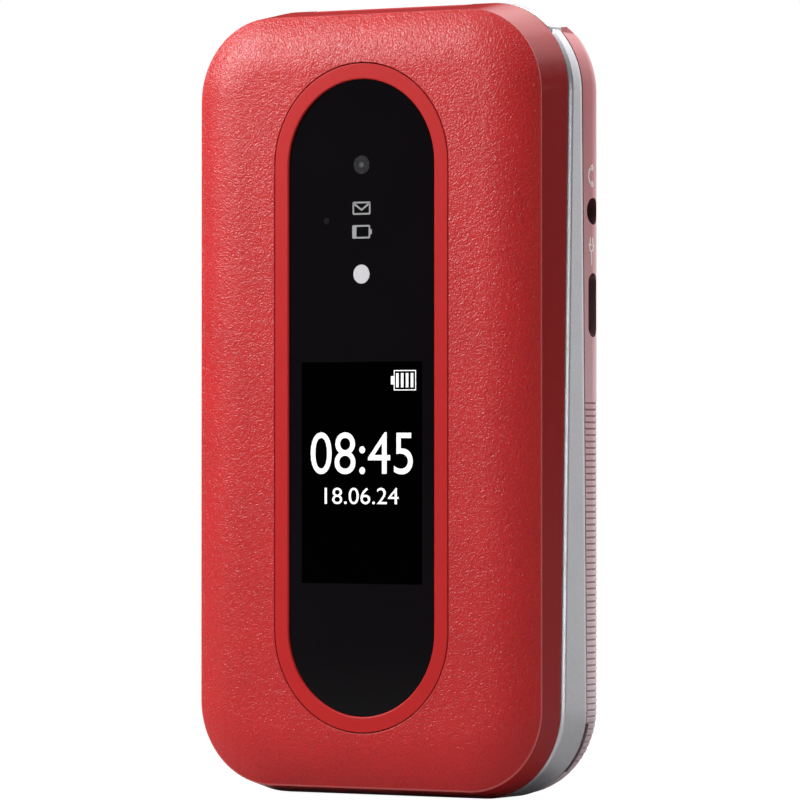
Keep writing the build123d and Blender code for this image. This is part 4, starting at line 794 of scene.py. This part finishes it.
# ---- studio ----
def make_floor():
    """White paper. Mirrored in the phone, it is dark close by, which is a painted shadow of the phone, and
    dark on the right and in front.
    """
    graph = material("floor")
    speck = graph.noise(graph.place(), 0.02, detail=3.0)
    tint = graph.mix(graph.ramp(speck, 0.3, 0.7), (0.44, 0.44, 0.44, 1), (0.48, 0.48, 0.48, 1))
    plain = graph.add("ShaderNodeBsdfDiffuse", {"Color": tint})
    paper = graph.add("ShaderNodeEmission", {"Color": WHITE, "Strength": 1.30})

    path = graph.add("ShaderNodeLightPath").outputs
    direct = graph.math("MAXIMUM", path["Is Camera Ray"], path["Is Transmission Ray"])
    seen = graph.math("MULTIPLY", direct, 0.75)
    spot = graph.add("ShaderNodeTexCoord").outputs["Object"]
    reach = graph.add("ShaderNodeVectorMath", {0: spot}, operation="LENGTH").outputs["Value"]
    parts = graph.parts(spot)
    right = graph.math("DIVIDE", parts["X"], reach)
    back = graph.math("DIVIDE", parts["Y"], reach)
    # Painted shadow: in reflections the paper darkens close to the phone, where its shadow falls.
    pale = graph.ramp(reach, FLOOR_NEAR, FLOOR_FAR, 0.04, 0.38, smooth=True)
    pale = graph.math("MULTIPLY", pale, graph.ramp(right, 0.68, 0.56, 0.1, 1.0, smooth=True))
    pale = graph.math("MULTIPLY", pale, graph.ramp(back, 0.0, 0.5, 0.1, 1.0, smooth=True))
    mirrored = graph.math("MULTIPLY", path["Is Glossy Ray"], pale)
    share = graph.math("MAXIMUM", seen, mirrored)
    both = graph.add("ShaderNodeMixShader", {0: share, 1: plain.outputs[0], 2: paper.outputs[0]})
    graph.add("ShaderNodeOutputMaterial", {"Surface": both.outputs[0]})

    half = FLOOR_HALF
    mesh = bpy.data.meshes.new("floor")
    corners = [(-half, -half, 0), (half, -half, 0), (half, half, 0), (-half, half, 0)]
    mesh.from_pydata(corners, [], [(0, 1, 2, 3)])
    mesh.materials.append(materials["floor"])
    floor = bpy.data.objects.new("floor", mesh)
    bpy.context.scene.collection.objects.link(floor)


def make_world():
    """White backdrop for the camera. Mirrored in the phone, it is white behind it and dim on its right and
    in front. Matt surfaces get soft light, stronger from above."""
    world = bpy.data.worlds.new("studio")
    bpy.context.scene.world = world
    graph = Graph(world)
    way = graph.parts(graph.add("ShaderNodeTexCoord").outputs["Generated"])
    right, back, up = way["X"], way["Y"], way["Z"]

    wide = graph.ramp(right, 0.65, 0.42, 0.0, 1.0, smooth=True)
    wide = graph.math("MULTIPLY", wide, graph.ramp(right, -0.48, -0.20, 0.04, 1.0, smooth=True))
    sheet = graph.ramp(right, 0.24, 0.16, 0.0, 0.45, smooth=True)
    sheet = graph.math("MULTIPLY", sheet, graph.ramp(right, -0.50, -0.40, smooth=True))
    sheet = graph.math("MULTIPLY", sheet, graph.ramp(up, 0.08, 0.28, smooth=True))
    behind = graph.math("ADD", wide, sheet)
    behind = graph.math("MULTIPLY", behind, graph.ramp(back, 0.1, 0.6, smooth=True))
    roof = graph.ramp(up, 0.30, 0.75, 0.0, 0.5, smooth=True)
    mirrored = graph.math("ADD", graph.math("ADD", behind, roof), 0.02)
    soft = graph.ramp(up, 0.0, 0.9, 0.08, 0.34)

    path = graph.add("ShaderNodeLightPath").outputs
    glossy = graph.math("MAXIMUM", path["Is Glossy Ray"], path["Is Transmission Ray"])
    matt = graph.math("SUBTRACT", 1.0, glossy)
    level = graph.math("MULTIPLY", mirrored, glossy)
    level = graph.math("ADD", level, graph.math("MULTIPLY", soft, matt))
    dim = graph.add("ShaderNodeBackground", {"Color": WHITE, "Strength": level})
    white = graph.add("ShaderNodeBackground", {"Color": WHITE, "Strength": 1.0})
    shown = {0: path["Is Camera Ray"], 1: dim.outputs[0], 2: white.outputs[0]}
    both = graph.add("ShaderNodeMixShader", shown)
    graph.add("ShaderNodeOutputWorld", {"Surface": both.outputs[0]})


def make_lamp(name, way, distance, size, power):
    """A square softbox that faces the phone's middle, with distance and size in metres."""
    light = bpy.data.lights.new(name, "AREA")
    light.shape = "SQUARE"
    light.size = size
    light.energy = power
    lamp = bpy.data.objects.new(name, light)
    bpy.context.scene.collection.objects.link(lamp)
    out = Vector(way).normalized()
    lamp.location = out * distance + Vector((0, 0, MID_Z * MM))
    lamp.rotation_euler = out.to_track_quat("Z", "Y").to_euler()


def make_camera():
    """Camera of the photo, at the phone's front right, below its middle and looking slightly up."""
    lens = bpy.data.cameras.new("photo_camera")
    lens.lens = PHOTO_LENS
    lens.sensor_width = PHOTO_SENSOR
    lens.clip_start = 0.01
    camera = bpy.data.objects.new("photo_camera", lens)
    bpy.context.scene.collection.objects.link(camera)
    back = Vector((math.sin(PHOTO_YAW), -math.cos(PHOTO_YAW), 0))
    right = Vector((math.cos(PHOTO_YAW), math.sin(PHOTO_YAW), 0))
    spot = Vector((0, GLASS_Y, MID_Z)) + PHOTO_DISTANCE * back + PHOTO_SIDE_STEP * right
    spot.z = PHOTO_HEIGHT
    out = (back * math.cos(PHOTO_PITCH) - Vector((0, 0, math.sin(PHOTO_PITCH)))).normalized()
    turn = Matrix((right, out.cross(right), out)).transposed().to_4x4()
    camera.matrix_world = Matrix.Translation(spot * MM) @ turn
    bpy.context.scene.camera = camera


make_camera()
make_world()
make_floor()
make_lamp("key", way=(-0.71, -0.555, 0.50), distance=0.38, size=0.12, power=1.50)
make_lamp("fill", way=(0.0, -0.76, 0.70), distance=0.70, size=0.50, power=0.20)
make_lamp("card", way=(0.85, -0.52, 0.0), distance=0.60, size=0.12, power=0.26)
make_lamp("top", way=(0.10, -0.05, 1.0), distance=0.50, size=0.34, power=1.00)
make_lamp("back", way=(-0.80, 0.55, 0.25), distance=0.60, size=0.28, power=1.40)

dress_nodes()
make_window_marks()
make_outer_screen()
make_ribbed_cover()
make_port_marks()
make_number_marks()
make_call_marks()
make_soft_marks()
make_nav_marks()
make_inner_screen()

bpy.context.scene.view_settings.view_transform = "Standard"
